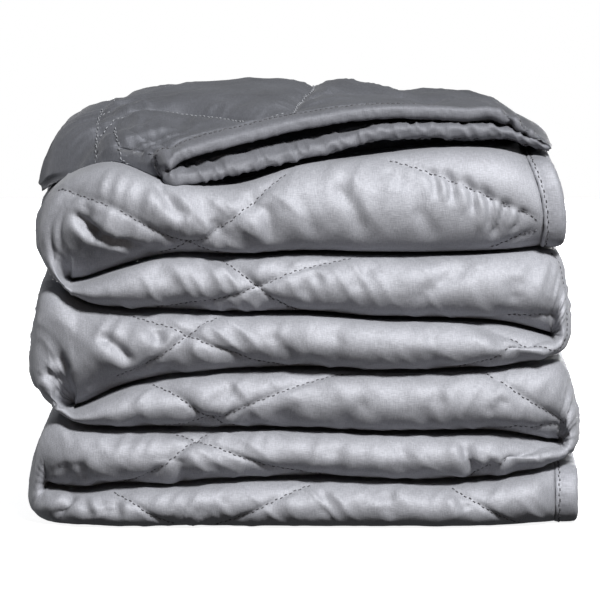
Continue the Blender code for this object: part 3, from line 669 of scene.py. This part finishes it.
class Strip:
    """The folded strip as a grid of points, a ring for each rib, with measures along the cloth."""

    def __init__(self, side_points):
        outer, inner, self.layer = strip_ribs(RIB_STEP)
        middle, half = (outer + inner) / 2, (outer - inner) / 2
        self.number = np.floor(self.layer)
        self.turning = self.layer > self.number
        self.half = np.linalg.norm(half, axis=1)
        self.tilt = np.abs(half[:, 0]) / self.half
        self.share, y = ring_shape(self.half, front_of(middle[:, 0], self.layer), side_points)
        self.run = lengths_along(middle)
        flat = middle[:, None, :] + half[:, None, :] * self.share[:, :, None]
        flat[:, :, 0] += end_bow(self.run)[:, None] * (1 - self.share**2)
        points = np.stack([flat[:, :, 0], y, flat[:, :, 1]], axis=2)
        below = np.clip((middle[:, 1:] - flat[:, :, 1]) / np.maximum(np.abs(half[:, 1:]), 1), 0, 1)
        self.lowest = ease(self.layer - LAYER_COUNT + 2)
        droop = CROWN_DROOP * (1 - (1 - BOTTOM_DROOP) * self.lowest)
        points[:, :FRONT_POINTS, 1] += droop[:, None] * below[:, :FRONT_POINTS] ** DROOP_POWER
        steps = np.linalg.norm(np.diff(points, axis=1), axis=2)
        across = np.concatenate([np.zeros((len(self.run), 1)), np.cumsum(steps, axis=1)], axis=1)
        top = FRONT_POINTS + side_points[0]
        length = across[:, -1:] + np.linalg.norm(points[:, -1] - points[:, 0], axis=1)[:, None]
        across[:, top + len(BACK_ANGLES) :] -= length
        self.across = across - across[:, FRONT_POINTS // 2 : FRONT_POINTS // 2 + 1]
        phase = quilt_phase(self.run, middle[:, 0], self.layer)
        phase[2] -= END_SEAM_SHIFT * ease(1 - self.run / END_SEAM_FADE)
        self.families = seam_families(self.run[:, None], self.across, phase)
        points = points + outward(points) * self.height(points)[:, :, None]
        self.points = on_floor(settle(points))
        self.normals = outward(self.points)

    def height(self, points):
        """How far each point stands out from the plain folded strip."""
        x, z = seen(settle(points))
        thick = np.clip(self.half / FULL_RELIEF_HALF, 0, 1)
        ends = ease(self.run / PLAIN_END) * ease((self.run[-1] - self.run) / PLAIN_END)
        shown = np.zeros(self.share.shape)
        power = np.interp(self.lowest, (0, 1), SHOWN_POWERS)
        shown[:, :FRONT_POINTS] = 1 - np.abs(self.share[:, :FRONT_POINTS]) ** power[:, None]
        pressed = shown[:, :FRONT_POINTS] * thick[:, None]
        outside = np.where(self.number % 2 == 0, 1.0, -1.0)
        side_face = (self.share == outside[:, None]) & self.turning[:, None]
        past = ease((np.abs(points[..., 0]) - SIDE_RELIEF_X) / SIDE_RELIEF_EASE)
        past = past * ease(self.tilt / FREE_TILT)[:, None]
        shown = np.maximum(shown, np.where(side_face, past, 0))
        self.shown = shown
        behind = np.clip((points[..., 1] - BACK_DEPTH + BACK_CROWN) / BACK_CROWN, 0, 1)
        loose = ease((PLAIN_FROM_X - points[..., 0]) / PLAIN_EASE)
        loose = np.where(self.layer[:, None] < 0.5, loose, 1)
        wrinkled = wrinkles(self.run[:, None], self.across)
        plain = PLAIN_WRINKLES + (1 - PLAIN_WRINKLES) * loose
        height = (quilting(self.families, loose) + wrinkled * plain) * shown
        height += BACK_WRINKLES * wrinkled * behind**2
        height = height * (thick * ends)[:, None]
        for relief, marks in ((pressed_crease, CREASES), (hollow, HOLLOWS)):
            for layer, *mark in marks:
                on = np.flatnonzero(np.abs(self.layer - layer) < NEAR_LAYER)
                part = np.s_[on[0] : on[-1] + 1, :FRONT_POINTS]
                height[part] += relief(*mark, x[part], z[part]) * pressed[on]
        return height


def settle(points):
    """The points with the stack's slight unevenness: slow waves, a twist and a sag at the back."""
    x, y, z = points[..., 0], points[..., 1], points[..., 2]
    lift = ease(z / SETTLED_FROM_Z)
    moved = points.copy()
    swell = SWELL * np.sin(x / 71 + y / 64) * ease((y + HALF_DEPTH) / HALF_DEPTH)
    moved[..., 0] += lift * (SWELL * np.sin(z / 61) + TWIST * y * np.cos(z / 43))
    moved[..., 1] += lift * SWELL * np.sin(x / 58 + z / 33) * 0.7
    moved[..., 2] += lift * (swell - BACK_SAG * ease((y - 20) / HALF_DEPTH))
    return moved


def on_floor(points):
    """The points with those near the floor eased up, so that none is below it."""
    z = points[..., 2]
    eased = (z + FLOOR_EASE) ** 2 / (4 * FLOOR_EASE)
    eased = np.where(np.abs(z) < FLOOR_EASE, eased, np.maximum(z, 0))
    return np.concatenate([points[..., :2], eased[..., None]], axis=-1)


def turned_edge_rows():
    """The turned-over edge's table, read at even steps across it."""
    table = np.array(TURNED_EDGE, float)
    across = lengths_along(table[:, 5:7])
    places = np.linspace(0, across[-1], round(across[-1] / EDGE_STEP))
    shares = np.interp(places, across, table[:, 0])
    shares = np.unique(np.concatenate((shares, EDGE_ROUND_SHARES)))
    rows = read_along(shares, table[:, 0], table, smooth_through)
    bound = shares >= BINDING_TURN_SHARE
    front_y = rows[:, TURNED_EDGE_COLUMNS.index("front_y")]
    front_y[~bound] = front_y[bound][0]
    return [dict(zip(TURNED_EDGE_COLUMNS, row)) for row in rows]


def top_surface(x, y):
    """Height of the top layer's upper face, with its rounded front."""
    x = np.clip(x, LINE_X[0], LINES[0][3])
    high, low = line_height(0, x), line_height(1, x)
    fall = np.clip(1 - (y - front_of(x, 0.0)) / FRONT_CROWN, 0, 1)
    height = (1 - fall**FRONT_SQUARENESS) ** (1 / FRONT_SQUARENESS)
    return (high + low) / 2 + (high - low) / 2 * height


def turned_edge_lines(row, y, half):
    """x of one front-to-back line of the turned edge at the given y, with the heights of the middle
    of its upper and lower layers.

    The lower layer lies on the layer under it, and the upper one on the lower.
    """
    reach = ease((y - row["front_y"]) / (TURNED_KNEE_Y - row["front_y"]))
    x = row["front_x"] + (row["mid_x"] - row["front_x"]) * reach
    to_back = ease((y - TURNED_CREST_Y) / (TURNED_BACK_Y - TURNED_CREST_Y))
    x = x + (row["back_x"] - row["mid_x"]) * to_back
    to_crest = np.clip((y - row["front_y"]) / (TURNED_CREST_Y - row["front_y"]), 0, 1)
    rise = np.sin(to_crest * math.pi / 2)
    spacing = 2.2 * half
    high = row["high_z"] + (row["mid_z"] - row["high_z"]) * rise
    low = row["low_z"] + (row["mid_z"] - spacing - row["low_z"]) * rise
    high = high + (row["back_z"] - row["mid_z"]) * to_back
    low = low + (row["back_z"] - row["mid_z"]) * to_back
    low = np.maximum(low, top_surface(x, y) + half * (1 + HEM_CLEARANCE * 2 / CLOTH_THICKNESS))
    return x, np.maximum(high, low + spacing), low


def half_thickness(share):
    """Half the turned edge's layer, which thins to nothing at its left crease and its right end."""
    inset = min(1, share / EDGE_ROUND_SHARE, (1 - share) / END_ROUND_SHARE)
    return CLOTH_THICKNESS / 2 * math.sqrt(1 - (1 - inset) ** 2)


def turned_edge_relief(x, y, z, share):
    """Height of the quilting, wrinkles and creases over the turned edge's plain top face."""
    nearest = np.full(x.shape, PUFF_REACH)
    height = np.zeros(x.shape)
    for n, line in enumerate(TURNED_EDGE_SEAMS):
        apart, along = line_distance(line, x, y)
        near = np.abs(apart)
        nearest = np.minimum(nearest, near)
        height -= STITCH_DEPTH * bell(near, STITCH_WIDTH)
        length = lengths_along(line)[-1]
        crests = ridges(along * length / PUCKER_PITCH + 5.1 * n, apart / 26, 31)
        height += puckers(crests, near)
    height += TOP_PUFF_HEIGHT * (ease(nearest / PUFF_REACH) ** 0.5 - TOP_PUFF_LEVEL)
    height -= TOP_SEAM_DEPTH * bell(nearest, SEAM_HALF_WIDTH)
    rolled = ease((ROLLED_TO_SHARE - share) / ROLLED_EASE)
    height *= 1 - ROLLED_QUILTING * rolled
    height += TOP_WRINKLES * wrinkles(x, 1.3 * y) * (1 - ROLLED_LACK * rolled)
    lines = y / ROLL_WRINKLE_PITCH + 1.2 * share + 0.4 * noise(x / 30, y / 30, 41)
    height += rolled * ROLL_WRINKLES * (ridges(lines, x / 90, 42) - WRINKLE_LEVEL)
    seen_x, seen_z = seen(np.stack([x, y, z], axis=-1))
    for depth, width, line in TURNED_EDGE_CREASES + TURNED_HEM_CREASES:
        height += crease_relief(depth, width, line, seen_x, seen_z) * (y < TURNED_CREST_Y)
    return height


def turned_edge_points():
    """The turned-over edge: a ring for each front-to-back line, open between its two hems."""
    rows, rings = turned_edge_rows(), []
    for row in rows:
        half = half_thickness(row["share"])
        front = row["front_y"] + BINDING_WIDTH
        hem = front + np.array(HEM_STEPS)
        y = np.concatenate((hem, np.linspace(hem[-1], EDGE_Y[0], KNEE_STEPS + 2)[1:-1], EDGE_Y))
        x, high, low = turned_edge_lines(row, y, half)
        back_round = np.sqrt(1 - (ROUNDED_SHARE * ease((y - TURNED_BACK_Y) / BACK_ROUND + 1)) ** 2)
        sink = ease((y - front - UNDER_HEM) / SINK_EASE) * ease(half * 2 / CLOTH_THICKNESS)
        sink = sink * ease((SUNK_TO_X - x) / SINK_EASE)
        sunk = line_height(0, np.clip(x, -128, SUNK_TO_X)) - SUNK_INTO_TOP
        top = high + half * back_round
        bottom = low - half * back_round
        bottom += (np.minimum(sunk, bottom) - bottom) * sink
        depth = MOUTH_DEPTH * np.interp(row["share"], MOUTH_OPENING_SHARES, MOUTH_OPENING)
        mouth_y = front + 1 + depth * np.linspace(0, 1, MOUTH_STEPS)
        mouth_x, ceiling, base = turned_edge_lines(row, mouth_y, half)
        lip_x, high_lip, low_lip = turned_edge_lines(row, np.array([front]), half)
        ceiling, base = ceiling - half, base + half
        closing = np.linspace(0, 1, MOUTH_STEPS) ** 1.5 * MOUTH_CLOSING * (ceiling - base)
        ceiling, base = ceiling - closing, base + closing
        if depth < 1:
            mouth_x, mouth_y = np.full(MOUTH_STEPS, lip_x[0]), np.full(MOUTH_STEPS, front)
            ceiling = base = np.full(MOUTH_STEPS, (high_lip[0] + low_lip[0]) / 2)
        ring_x = np.concatenate((x[::-1], lip_x, mouth_x, mouth_x[::-1], lip_x, x))
        ring_y = np.concatenate((y[::-1], [front], mouth_y, mouth_y[::-1], [front], y))
        upper = np.concatenate((top[::-1], high_lip, ceiling))
        lower = np.concatenate((bottom[::-1], low_lip, base))
        rings.append(np.stack([ring_x, ring_y, np.concatenate((upper, lower[::-1]))], axis=1))
    rings = np.array(rings)
    share, front_y = (np.array([[row[name]] for row in rows]) for name in ("share", "front_y"))
    face = rings[:, : len(y)]
    into = face[..., 1] - (front_y + BINDING_WIDTH)
    width = ROLL_WIDTH_AT_HEM + (ROLL_WIDTH - ROLL_WIDTH_AT_HEM) * ease(into / ROLL_EASE)
    inset = np.clip((face[..., 0] - face[:1, :, 0]) / width, 0, 1)
    under = rings[:, -1 : -len(y) - 1 : -1, 2]
    face[..., 2] -= (face[..., 2] - under) * (1 - np.sqrt(1 - (1 - inset) ** 2))
    rings = settle(rings)
    face = rings[:, : len(y)]
    height = turned_edge_relief(*np.moveaxis(face, -1, 0), share) * ease(into / RELIEF_FROM_HEM)
    gathers = ridges(face[..., 0] / HEM_GATHER_PITCH, into / 18, 51) - WRINKLE_LEVEL
    height += HEM_GATHERS * gathers * ease(into / 3) * bell(into, HEM_GATHER_REACH)
    height *= ease(np.minimum(share / LEFT_FADE_SHARE, (1 - share) / RIGHT_FADE_SHARE))
    height *= ease((TURNED_BACK_Y - face[..., 1]) / BACK_FADE)
    face += outward(rings)[:, : len(y)] * height[..., None]
    return rings


def gathered(rings, seed, amounts=(HEM_GATHERS, HEM_GATHERS), creases=()):
    """A hem with the small puckers of its sewing; amounts are those of its two halves."""
    coarse = settle(rings)
    steps = np.linalg.norm(np.diff(coarse.mean(axis=1), axis=0), axis=1)
    coarse = coarse[np.concatenate(([True], steps > 0.5))]
    along = lengths_along(coarse.mean(axis=1))
    at = np.linspace(0, along[-1], round(along[-1] / HEM_STEP))
    flat = coarse.reshape(len(coarse), -1)
    rings = read_along(at, along, flat, smooth_through).reshape(len(at), *coarse.shape[1:])
    run = lengths_along(rings.mean(axis=1))[:, None]
    place = np.arange(rings.shape[1])[None, :] * SECTION_SPACING
    bumps = ridges(run / HEM_GATHER_PITCH + 0.06 * place, place / 9, seed) - WRINKLE_LEVEL
    amount = np.interp(run / run[-1], (0, *HEM_TURN, 1), np.repeat(amounts, 2))
    height = amount * bumps * (1 - SMOOTHER_EDGE * SECTION_WIDTHS)
    for depth, width, line in creases:
        height += crease_relief(depth, width, line, *seen(rings)) * (run < HEM_TURN[0] * run[-1])
    return on_floor(rings + facing_out(rings) * height[..., None])


def turned_edge_binding():
    """The binding along both hems of the turned edge, in one piece round its left crease."""
    over, under = [], []
    for row in turned_edge_rows():
        if not BINDING_TURN_SHARE <= row["share"] < 1:
            continue
        half = half_thickness(row["share"])
        y = row["front_y"] + (BINDING_WIDTH - PIECE_GAP) * (1 - SECTION_WIDTHS)
        offset = (1 - 2 * SECTION_DEPTHS) * half
        x, high, low = turned_edge_lines(row, y, half)
        over.append(np.stack([x, y, high + offset], axis=1))
        under.append(np.stack([x, y, low - offset], axis=1))
    turn = []
    middle, reach = (over[0] + under[0]) / 2, (over[0] - under[0]) / 2
    for angle in BINDING_TURN_ANGLES:
        turned = middle + reach * math.cos(angle)
        turned[:, 0] -= TURN_REACH * reach[:, 2] * math.sin(angle)
        turned[:, 1] += TURN_PINCH * math.sin(angle) ** 6
        turn.append(turned)
    return np.array(over[::-1] + turn + under)


def folded_hem_skins(front, back, ply):
    """The hem of a layer's free end, seen end on: for each station the (share, y) of its outer and
    its inner skin, and how much of the end's slant it follows.

    The layer is four plies: the blanket's two edges are folded in to the middle, and then it is
    folded in half. So the hem runs from one edge back, round a crease, forward, round the layer's
    front, and in the same way back to the other edge.
    """
    turn_y = back - BACK_CREASE_INSET
    middle = 0.5 + PLY_GAP / 2
    reach = middle - PLY_GAP
    ply_y = np.linspace(front + FRONT_CROWN, turn_y, 6)
    stations = [((PLY_GAP, y), (middle - PLY_GAP, y), 0.0) for y in ply_y]
    for angle in BACK_CREASE_ANGLES:
        c, s = math.cos(angle), math.sin(angle)
        outer = (middle + reach * s, turn_y + BACK_CREASE_REACH * c)
        stations.append((outer, (middle + PLY_GAP * s, turn_y + c), 0.0))
    stations += [((1, y), (middle + PLY_GAP, y), 0.0) for y in ply_y[::-1]]
    for share, reach in boxy(front_angles(), FRONT_SQUARENESS).T[: FRONT_POINTS // 2 - 1 : -1]:
        inner = ((middle + PLY_GAP) * share, front + ply + (FRONT_CROWN - ply) * (1 - reach))
        stations.append(((share, front + FRONT_CROWN * (1 - reach)), inner, 1 - share**4))
    return stations + [((-a, y), (-b, v), slant) for (a, y), (b, v), slant in stations[-2::-1]]


def end_binding(k):
    """The binding on the free end of layer k, along its folded hem."""
    outer_face, inner_face, _ = strip_ribs(RIB_STEP)
    end = 0 if k == 0 else -1
    middle, half = (outer_face[end] + inner_face[end]) / 2, (outer_face[end] - inner_face[end]) / 2
    height = np.linalg.norm(half)
    bow = end_bow(0.0) if k == 0 else 0.0
    front, back = front_of(middle[0], float(k)), BACK_DEPTH - BACK_CROWN
    rings = []
    for outer, inner, slant in folded_hem_skins(front, back, height * PLY_SHARE):
        spots, away = [], []
        for c, y in (outer, inner):
            flat = middle + half * c
            spots.append(np.array((flat[0] + bow * (1 - c * c), y, flat[1])))
            climb = slant * (2 * bow * c - half[0])
            away.append(np.array((height, 0, climb)) / math.hypot(height, climb))
        ring = []
        for depth, width in BINDING_SECTION:
            reach = PIECE_GAP + (BINDING_WIDTH - PIECE_GAP) * width
            spot, direction = (a + (b - a) * depth for a, b in (spots, away))
            ring.append(spot + direction * reach)
        rings.append(ring)
    return np.array(rings)


def quilt_grids(strip, folds):
    """The strip's points, layer by layer, with more of them along the outside of each fold."""
    grids = []
    for k in range(LAYER_COUNT):
        on = np.flatnonzero(strip.layer == k)
        grids.append(strip.points[on[0] : on[-1] + 1])
        if k < LAYER_COUNT - 1:
            first = np.flatnonzero(strip.layer == k + 1)[0]
            grids.append(folds[k % 2].points[on[-1] : first + 1])
    return grids


def parted(before, place):
    """Whether a seam is out of sight between two of its places, as in the mouth of a fold."""
    apart = np.linalg.norm(place[0] - before[0])
    reach = SEAM_SLANT * abs(place[2] - before[2])
    return apart > max(SEAM_BREAK, reach) or abs(place[4] - before[4]) > reach + SEAM_BREAK / 2


def seam_paths(strip, on):
    """Lines of the quilting on the given ribs, where they are in sight."""
    paths = []
    columns = np.argsort(strip.across[0])
    for turns, _, _ in strip.families:
        for number in range(int(np.ceil(turns.min())), int(np.floor(turns.max())) + 1):
            path = []
            for j in columns:
                here = turns[:, j] - number
                crossing = np.flatnonzero(on[:-1] & (here[:-1] <= 0) & (here[1:] > 0))
                place = None
                if len(crossing):
                    i = crossing[0]
                    t = -here[i] / (here[i + 1] - here[i])
                    grids = (strip.points, strip.normals, strip.across, strip.shown)
                    place = [grid[i, j] * (1 - t) + grid[i + 1, j] * t for grid in grids]
                    place.append(strip.run[i] * (1 - t) + strip.run[i + 1] * t)
                hidden = place is None or place[3] < STITCHED_SHOWN
                if path and (hidden or parted(path[-1], place)):
                    paths.append(path)
                    path = []
                if not hidden:
                    path.append(place)
            paths.append(path)
    return [path for path in paths if len(path) > 4]


def on_surface(rings, line):
    """A line of the turned edge's quilting on its top face, with the directions out of it."""
    top = len(HEM_STEPS) + len(EDGE_Y) + KNEE_STEPS
    points, out = rings[:, :top].reshape(-1, 3), outward(rings)[:, :top].reshape(-1, 3)
    run = lengths_along(line)
    spots, outs = [], []
    for x, y in read_along(np.arange(2, run[-1] - 2, 2.0), run, line, smooth_through):
        distance = np.hypot(points[:, 0] - x, points[:, 1] - y)
        near = np.argsort(distance)[:NEAREST_POINTS]
        weight = 1 / (distance[near] + 0.3) ** 2
        weight /= weight.sum()
        spots.append((x, y, (points[near, 2] * weight).sum()))
        outs.append((out[near] * weight[:, None]).sum(axis=0))
    return spots, outs


def facing_out(rings):
    """Unit normals of a hem, pointing away from its middle."""
    out = outward(rings)
    away = rings - rings.mean(axis=1, keepdims=True)
    return out * np.sign((out * away).sum())


def hem_seams(rings):
    """Both lines of sewing along a hem, with the directions out of it."""
    out, half = facing_out(rings), len(SECTION_WIDTHS) // 2
    from_edge = np.abs(SECTION_WIDTHS - SEWING_WIDTH)
    columns = from_edge[:half].argmin(), half + from_edge[half:].argmin()
    return [(rings[:, j], out[:, j]) for j in columns]


def unit(vectors):
    return vectors / np.linalg.norm(vectors, axis=-1, keepdims=True)


def stitches_along(spots, outs, lift):
    """Corners of the small pointed thread loops along a line on the cloth."""
    run = lengths_along(spots)
    centres = np.arange(STITCH_PITCH / 2, run[-1] - STITCH_PITCH / 2, STITCH_PITCH)
    if len(centres) < 2:
        return np.zeros((0, 10, 3))
    half = STITCH_PITCH * STITCH_SHARE / 2
    before, middle, after = (read_along(centres + way * half, run, spots) for way in (-1, 0, 1))
    out, along = unit(read_along(centres, run, outs)), unit(after - before)
    side = np.cross(along, out)
    wobble = np.where(np.arange(len(centres)) % 2, STITCH_WOBBLE, -STITCH_WOBBLE)[:, None]
    rings = [middle - along * half - out * STITCH_SINK]
    for place in STITCH_SHOULDERS:
        for turn in range(4):
            angle = math.pi / 2 * turn
            off = side * (math.cos(angle) + wobble) + out * math.sin(angle)
            rings.append(middle + along * half * place + off * STITCH_HALF_WIDTH + out * lift)
    rings.append(middle + along * half - out * STITCH_SINK)
    return np.stack(rings, axis=1)


def added(name, data, material=None):
    """A new object in the scene, smooth if it is a mesh with a material."""
    if material:
        data.polygons.foreach_set("use_smooth", [True] * len(data.polygons))
        data.materials.append(material)
    item = bpy.data.objects.new(name, data)
    bpy.context.scene.collection.objects.link(item)
    return item


def mesh_of(name, points, faces):
    data = bpy.data.meshes.new(name)
    data.from_pydata((points * METRES_PER_MM).tolist(), [], faces)
    return data


def stitch_mesh(name, lines, material, lift=STITCH_LIFT):
    """One object of all the stitches on the given lines of (spots, outward directions)."""
    shape = [(0, 2, 1), (0, 3, 2), (0, 4, 3), (0, 1, 4)]
    shape += [(1 + k, 1 + (k + 1) % 4, 5 + (k + 1) % 4, 5 + k) for k in range(4)]
    shape += [(9, 5 + k, 5 + (k + 1) % 4) for k in range(4)]
    corners = np.concatenate([stitches_along(spots, outs, lift) for spots, outs in lines])
    faces = [[10 * n + i for i in face] for n in range(len(corners)) for face in shape]
    return added(name, mesh_of(name, corners.reshape(-1, 3), faces), material)


def grid_mesh(name, grids, material, capped=True):
    """An object skinned over rows of rings, of which each goes on from the one before."""
    points, faces = [], []
    for rings in grids:
        index = sum(map(len, points)) + np.arange(rings[..., 0].size).reshape(rings.shape[:2])
        after = np.roll(index, -1, axis=1)
        quads = np.stack([index[:-1], after[:-1], after[1:], index[1:]], axis=-1).reshape(-1, 4)
        faces += quads.tolist()
        if capped and rings is grids[0]:
            faces.append(index[0][::-1].tolist())
        if capped and rings is grids[-1]:
            faces.append(index[-1].tolist())
        points.append(rings.reshape(-1, 3))
    data = mesh_of(name, np.concatenate(points), faces)
    mesh = bmesh.new()
    mesh.from_mesh(data)
    bmesh.ops.remove_doubles(mesh, verts=mesh.verts, dist=0.00001)
    bmesh.ops.recalc_face_normals(mesh, faces=mesh.faces)
    mesh.to_mesh(data)
    mesh.free()
    return added(name, data, material)


def add_node(tree, kind, inputs, **settings):
    """A shader node with its settings, and each input linked to an output or set to a value."""
    node = tree.nodes.new("ShaderNode" + kind)
    for name, value in settings.items():
        setattr(node, name, value)
    fill(tree, node, inputs)
    return node


def fill(tree, node, inputs):
    for name, value in inputs.items():
        if isinstance(value, bpy.types.NodeSocket):
            tree.links.new(value, node.inputs[name])
        else:
            node.inputs[name].default_value = value


def scaled_noise(tree, scales, detail):
    """Noise over the object, stretched by a scale for each axis."""
    place = add_node(tree, "TexCoord", {}).outputs["Object"]
    mapping = add_node(tree, "Mapping", {"Scale": scales, "Vector": place})
    inputs = {"Scale": 1, "Detail": detail, "Vector": mapping.outputs["Vector"]}
    return add_node(tree, "TexNoise", inputs).outputs["Fac"]


def ranged(tree, value, low, high):
    """The value, from 0.3 to 0.7, stretched to run from low to high."""
    inputs = {"Value": value, "From Min": 0.3, "From Max": 0.7, "To Min": low, "To Max": high}
    return add_node(tree, "MapRange", inputs).outputs["Result"]


def math_node(tree, operation, first, second):
    return add_node(tree, "Math", {0: first, 1: second}, operation=operation).outputs["Value"]


def new_material(name):
    """A material, its node tree and its shader."""
    material = bpy.data.materials.new(name)
    material.use_nodes = True
    return material, material.node_tree, material.node_tree.nodes["Principled BSDF"]


def satin(name, colour, gloss=0.3):
    """A satin weave: a broad shine, threads that run both ways, slubs and slight wear."""
    material, tree, shader = new_material(name)
    lengthwise = scaled_noise(tree, (260, 2600, 2600), 3)
    crosswise = scaled_noise(tree, (2600, 300, 300), 3)
    wear = scaled_noise(tree, (28, 28, 28), 5)
    shades = math_node(
        tree, "MULTIPLY", ranged(tree, lengthwise, 0.86, 1.14), ranged(tree, crosswise, 0.88, 1.12)
    )
    shades = math_node(tree, "MULTIPLY", shades, ranged(tree, wear, 0.9, 1.1))
    tinting = {"Factor": 1, "A": (*colour, 1), "B": shades}
    tint = add_node(tree, "Mix", tinting, data_type="RGBA", blend_type="MULTIPLY")
    threads = math_node(tree, "ADD", lengthwise, crosswise)
    bump = add_node(tree, "Bump", {"Strength": 0.5, "Distance": 0.0003, "Height": threads})
    fill(tree, shader, {
        "Base Color": tint.outputs["Result"],
        "Metallic": gloss,
        "Roughness": ranged(tree, wear, 0.6, 0.72),
        "Sheen Weight": 0.08,
        "Sheen Roughness": 0.5,
        "Normal": bump.outputs["Normal"],
    })
    return material


def emissive(name, colour, strength):
    material, tree, shader = new_material(name)
    fill(tree, shader, {"Base Color": colour, "Roughness": 0.9})
    fill(tree, shader, {"Emission Color": colour, "Emission Strength": strength})
    return material


def stage():
    """A pale floor."""
    bpy.ops.mesh.primitive_plane_add(size=4)
    floor = bpy.context.object
    floor.name = "floor"
    floor.data.materials.append(emissive("floor", (0.85, 0.85, 0.85, 1), 1.05))
    floor.visible_diffuse = False
    floor.visible_glossy = False


def area_light(name, spot, target, size, watts, colour=(1, 1, 1)):
    light = bpy.data.lights.new(name, "AREA")
    light.shape = "RECTANGLE"
    light.size, light.size_y = size
    light.energy = watts
    light.color = colour
    item = added(name, light)
    item.location = spot
    item.rotation_euler = (Vector(target) - Vector(spot)).to_track_quat("-Z", "Y").to_euler()


def lights():
    """A soft light in front and above, low ones for the back and sides, and a weak sky."""
    area_light("key", (0.6, -1.6, 1.55), (0, -0.05, 0.12), (0.45, 0.35), 98)
    area_light("back", (0.3, 2.3, 0.12), (0, 0.1, 0.1), (1.2, 0.2), 36)
    area_light("right", (2.1, 0.9, 0.12), (0.1, 0, 0.1), (0.8, 0.2), 8)
    area_light("bounce", (0, -0.8, 0.02), (0, -0.15, 0.1), (0.9, 0.1), 0.6, (1, 0.82, 0.68))
    area_light("left", (-2.1, 0.9, 0.12), (-0.1, 0, 0.1), (0.8, 0.2), 14)
    world = bpy.data.worlds.new("studio")
    world.use_nodes = True
    tree = world.node_tree
    tint = tree.nodes["Background"]
    fill(tree, tint, {"Color": (0.85, 0.92, 1, 1), "Strength": 0.07})
    white = add_node(tree, "Background", {"Color": (1, 1, 1, 1)})
    to_camera = add_node(tree, "LightPath", {}).outputs["Is Camera Ray"]
    mix = add_node(tree, "MixShader", {0: to_camera, 1: tint.outputs[0], 2: white.outputs[0]})
    fill(tree, tree.nodes["World Output"], {"Surface": mix.outputs[0]})
    bpy.context.scene.world = world


def camera():
    data = bpy.data.cameras.new("camera")
    data.lens = data.sensor_width * CAMERA_DISTANCE / FRAME_WIDTH
    item = added("camera", data)
    look = Vector((0, math.cos(CAMERA_ELEVATION), -math.sin(CAMERA_ELEVATION)))
    item.location = Vector(AIM) - look * CAMERA_DISTANCE
    item.rotation_euler = look.to_track_quat("-Z", "Y").to_euler()
    bpy.context.scene.camera = item


def main():
    shell = satin("satin shell", (0.27, 0.275, 0.30))
    # The turned-over edge on top and its binding are the same satin as the rest, with a darker
    # colour: painted shade for their upward-facing faces.
    painted_shade_shell = satin("satin shell with painted shade", (0.125, 0.129, 0.145), 0.6)
    painted_shade_trim = satin("satin binding with painted shade", (0.12, 0.123, 0.138))
    trim = satin("satin binding", (0.25, 0.255, 0.28))
    thread = satin("thread", (0.09, 0.09, 0.1), 0.2)
    strip = Strip(LAYER_SIDE_POINTS)
    folds = [Strip(points) for points in (LEFT_FOLD_SIDE_POINTS, RIGHT_FOLD_SIDE_POINTS)]
    quilt = grid_mesh("quilt_stack", quilt_grids(strip, folds), shell)
    turned_points = turned_edge_points()
    turned = grid_mesh("quilt_turned_edge", [turned_points], painted_shade_shell, capped=False)
    edge_hem = gathered(turned_edge_binding(), 61, TURNED_HEM_GATHERS, TURNED_HEM_CREASES)
    top_hem = gathered(end_binding(0), 62)
    bottom_hem = gathered(end_binding(LAYER_COUNT - 1), 63)
    edge_piece = grid_mesh("hem_turned_edge", [edge_hem], painted_shade_trim)
    top_piece = grid_mesh("hem_top_end", [top_hem], trim)
    bottom_piece = grid_mesh("hem_bottom_end", [bottom_hem], trim)
    pieces = (
        (quilt, "quilt", "satin_shell"),
        (turned, "quilt", "satin_shell"),
        (edge_piece, "binding_turned_edge", "satin_binding"),
        (top_piece, "binding_top_end", "satin_binding"),
        (bottom_piece, "binding_bottom_end", "satin_binding"),
    )
    parts = [(strip, ~strip.turning)]
    parts += [(fold, fold.turning & (fold.number % 2 == k)) for k, fold in enumerate(folds)]
    seams = [tuple(zip(*path))[:2] for side, on in parts for path in seam_paths(side, on)]
    top_seams = [on_surface(turned_points, line) for line in TURNED_EDGE_SEAMS]
    edges = [line for hem in (edge_hem, top_hem, bottom_hem) for line in hem_seams(hem)]
    dark_thread = satin("hem thread", (0.06, 0.06, 0.066), 0.2)
    pale_thread = satin("thread on top", (0.2, 0.205, 0.22), 0.2)
    for name, lines, yarn, lift in (
        ("quilting_stitches", seams, thread, STITCH_LIFT),
        ("turned_edge_stitches", top_seams, pale_thread, 2 * STITCH_LIFT),
        ("hem_stitches", edges, dark_thread, STITCH_LIFT),
    ):
        stitches = stitch_mesh(name, lines, yarn, lift)
        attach(stitches, "root")
    for piece, node, slot in pieces:
        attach(piece, "root")
        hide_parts(node)
    stage()
    lights()
    camera()
    bpy.context.scene.view_settings.view_transform = "Standard"


main()
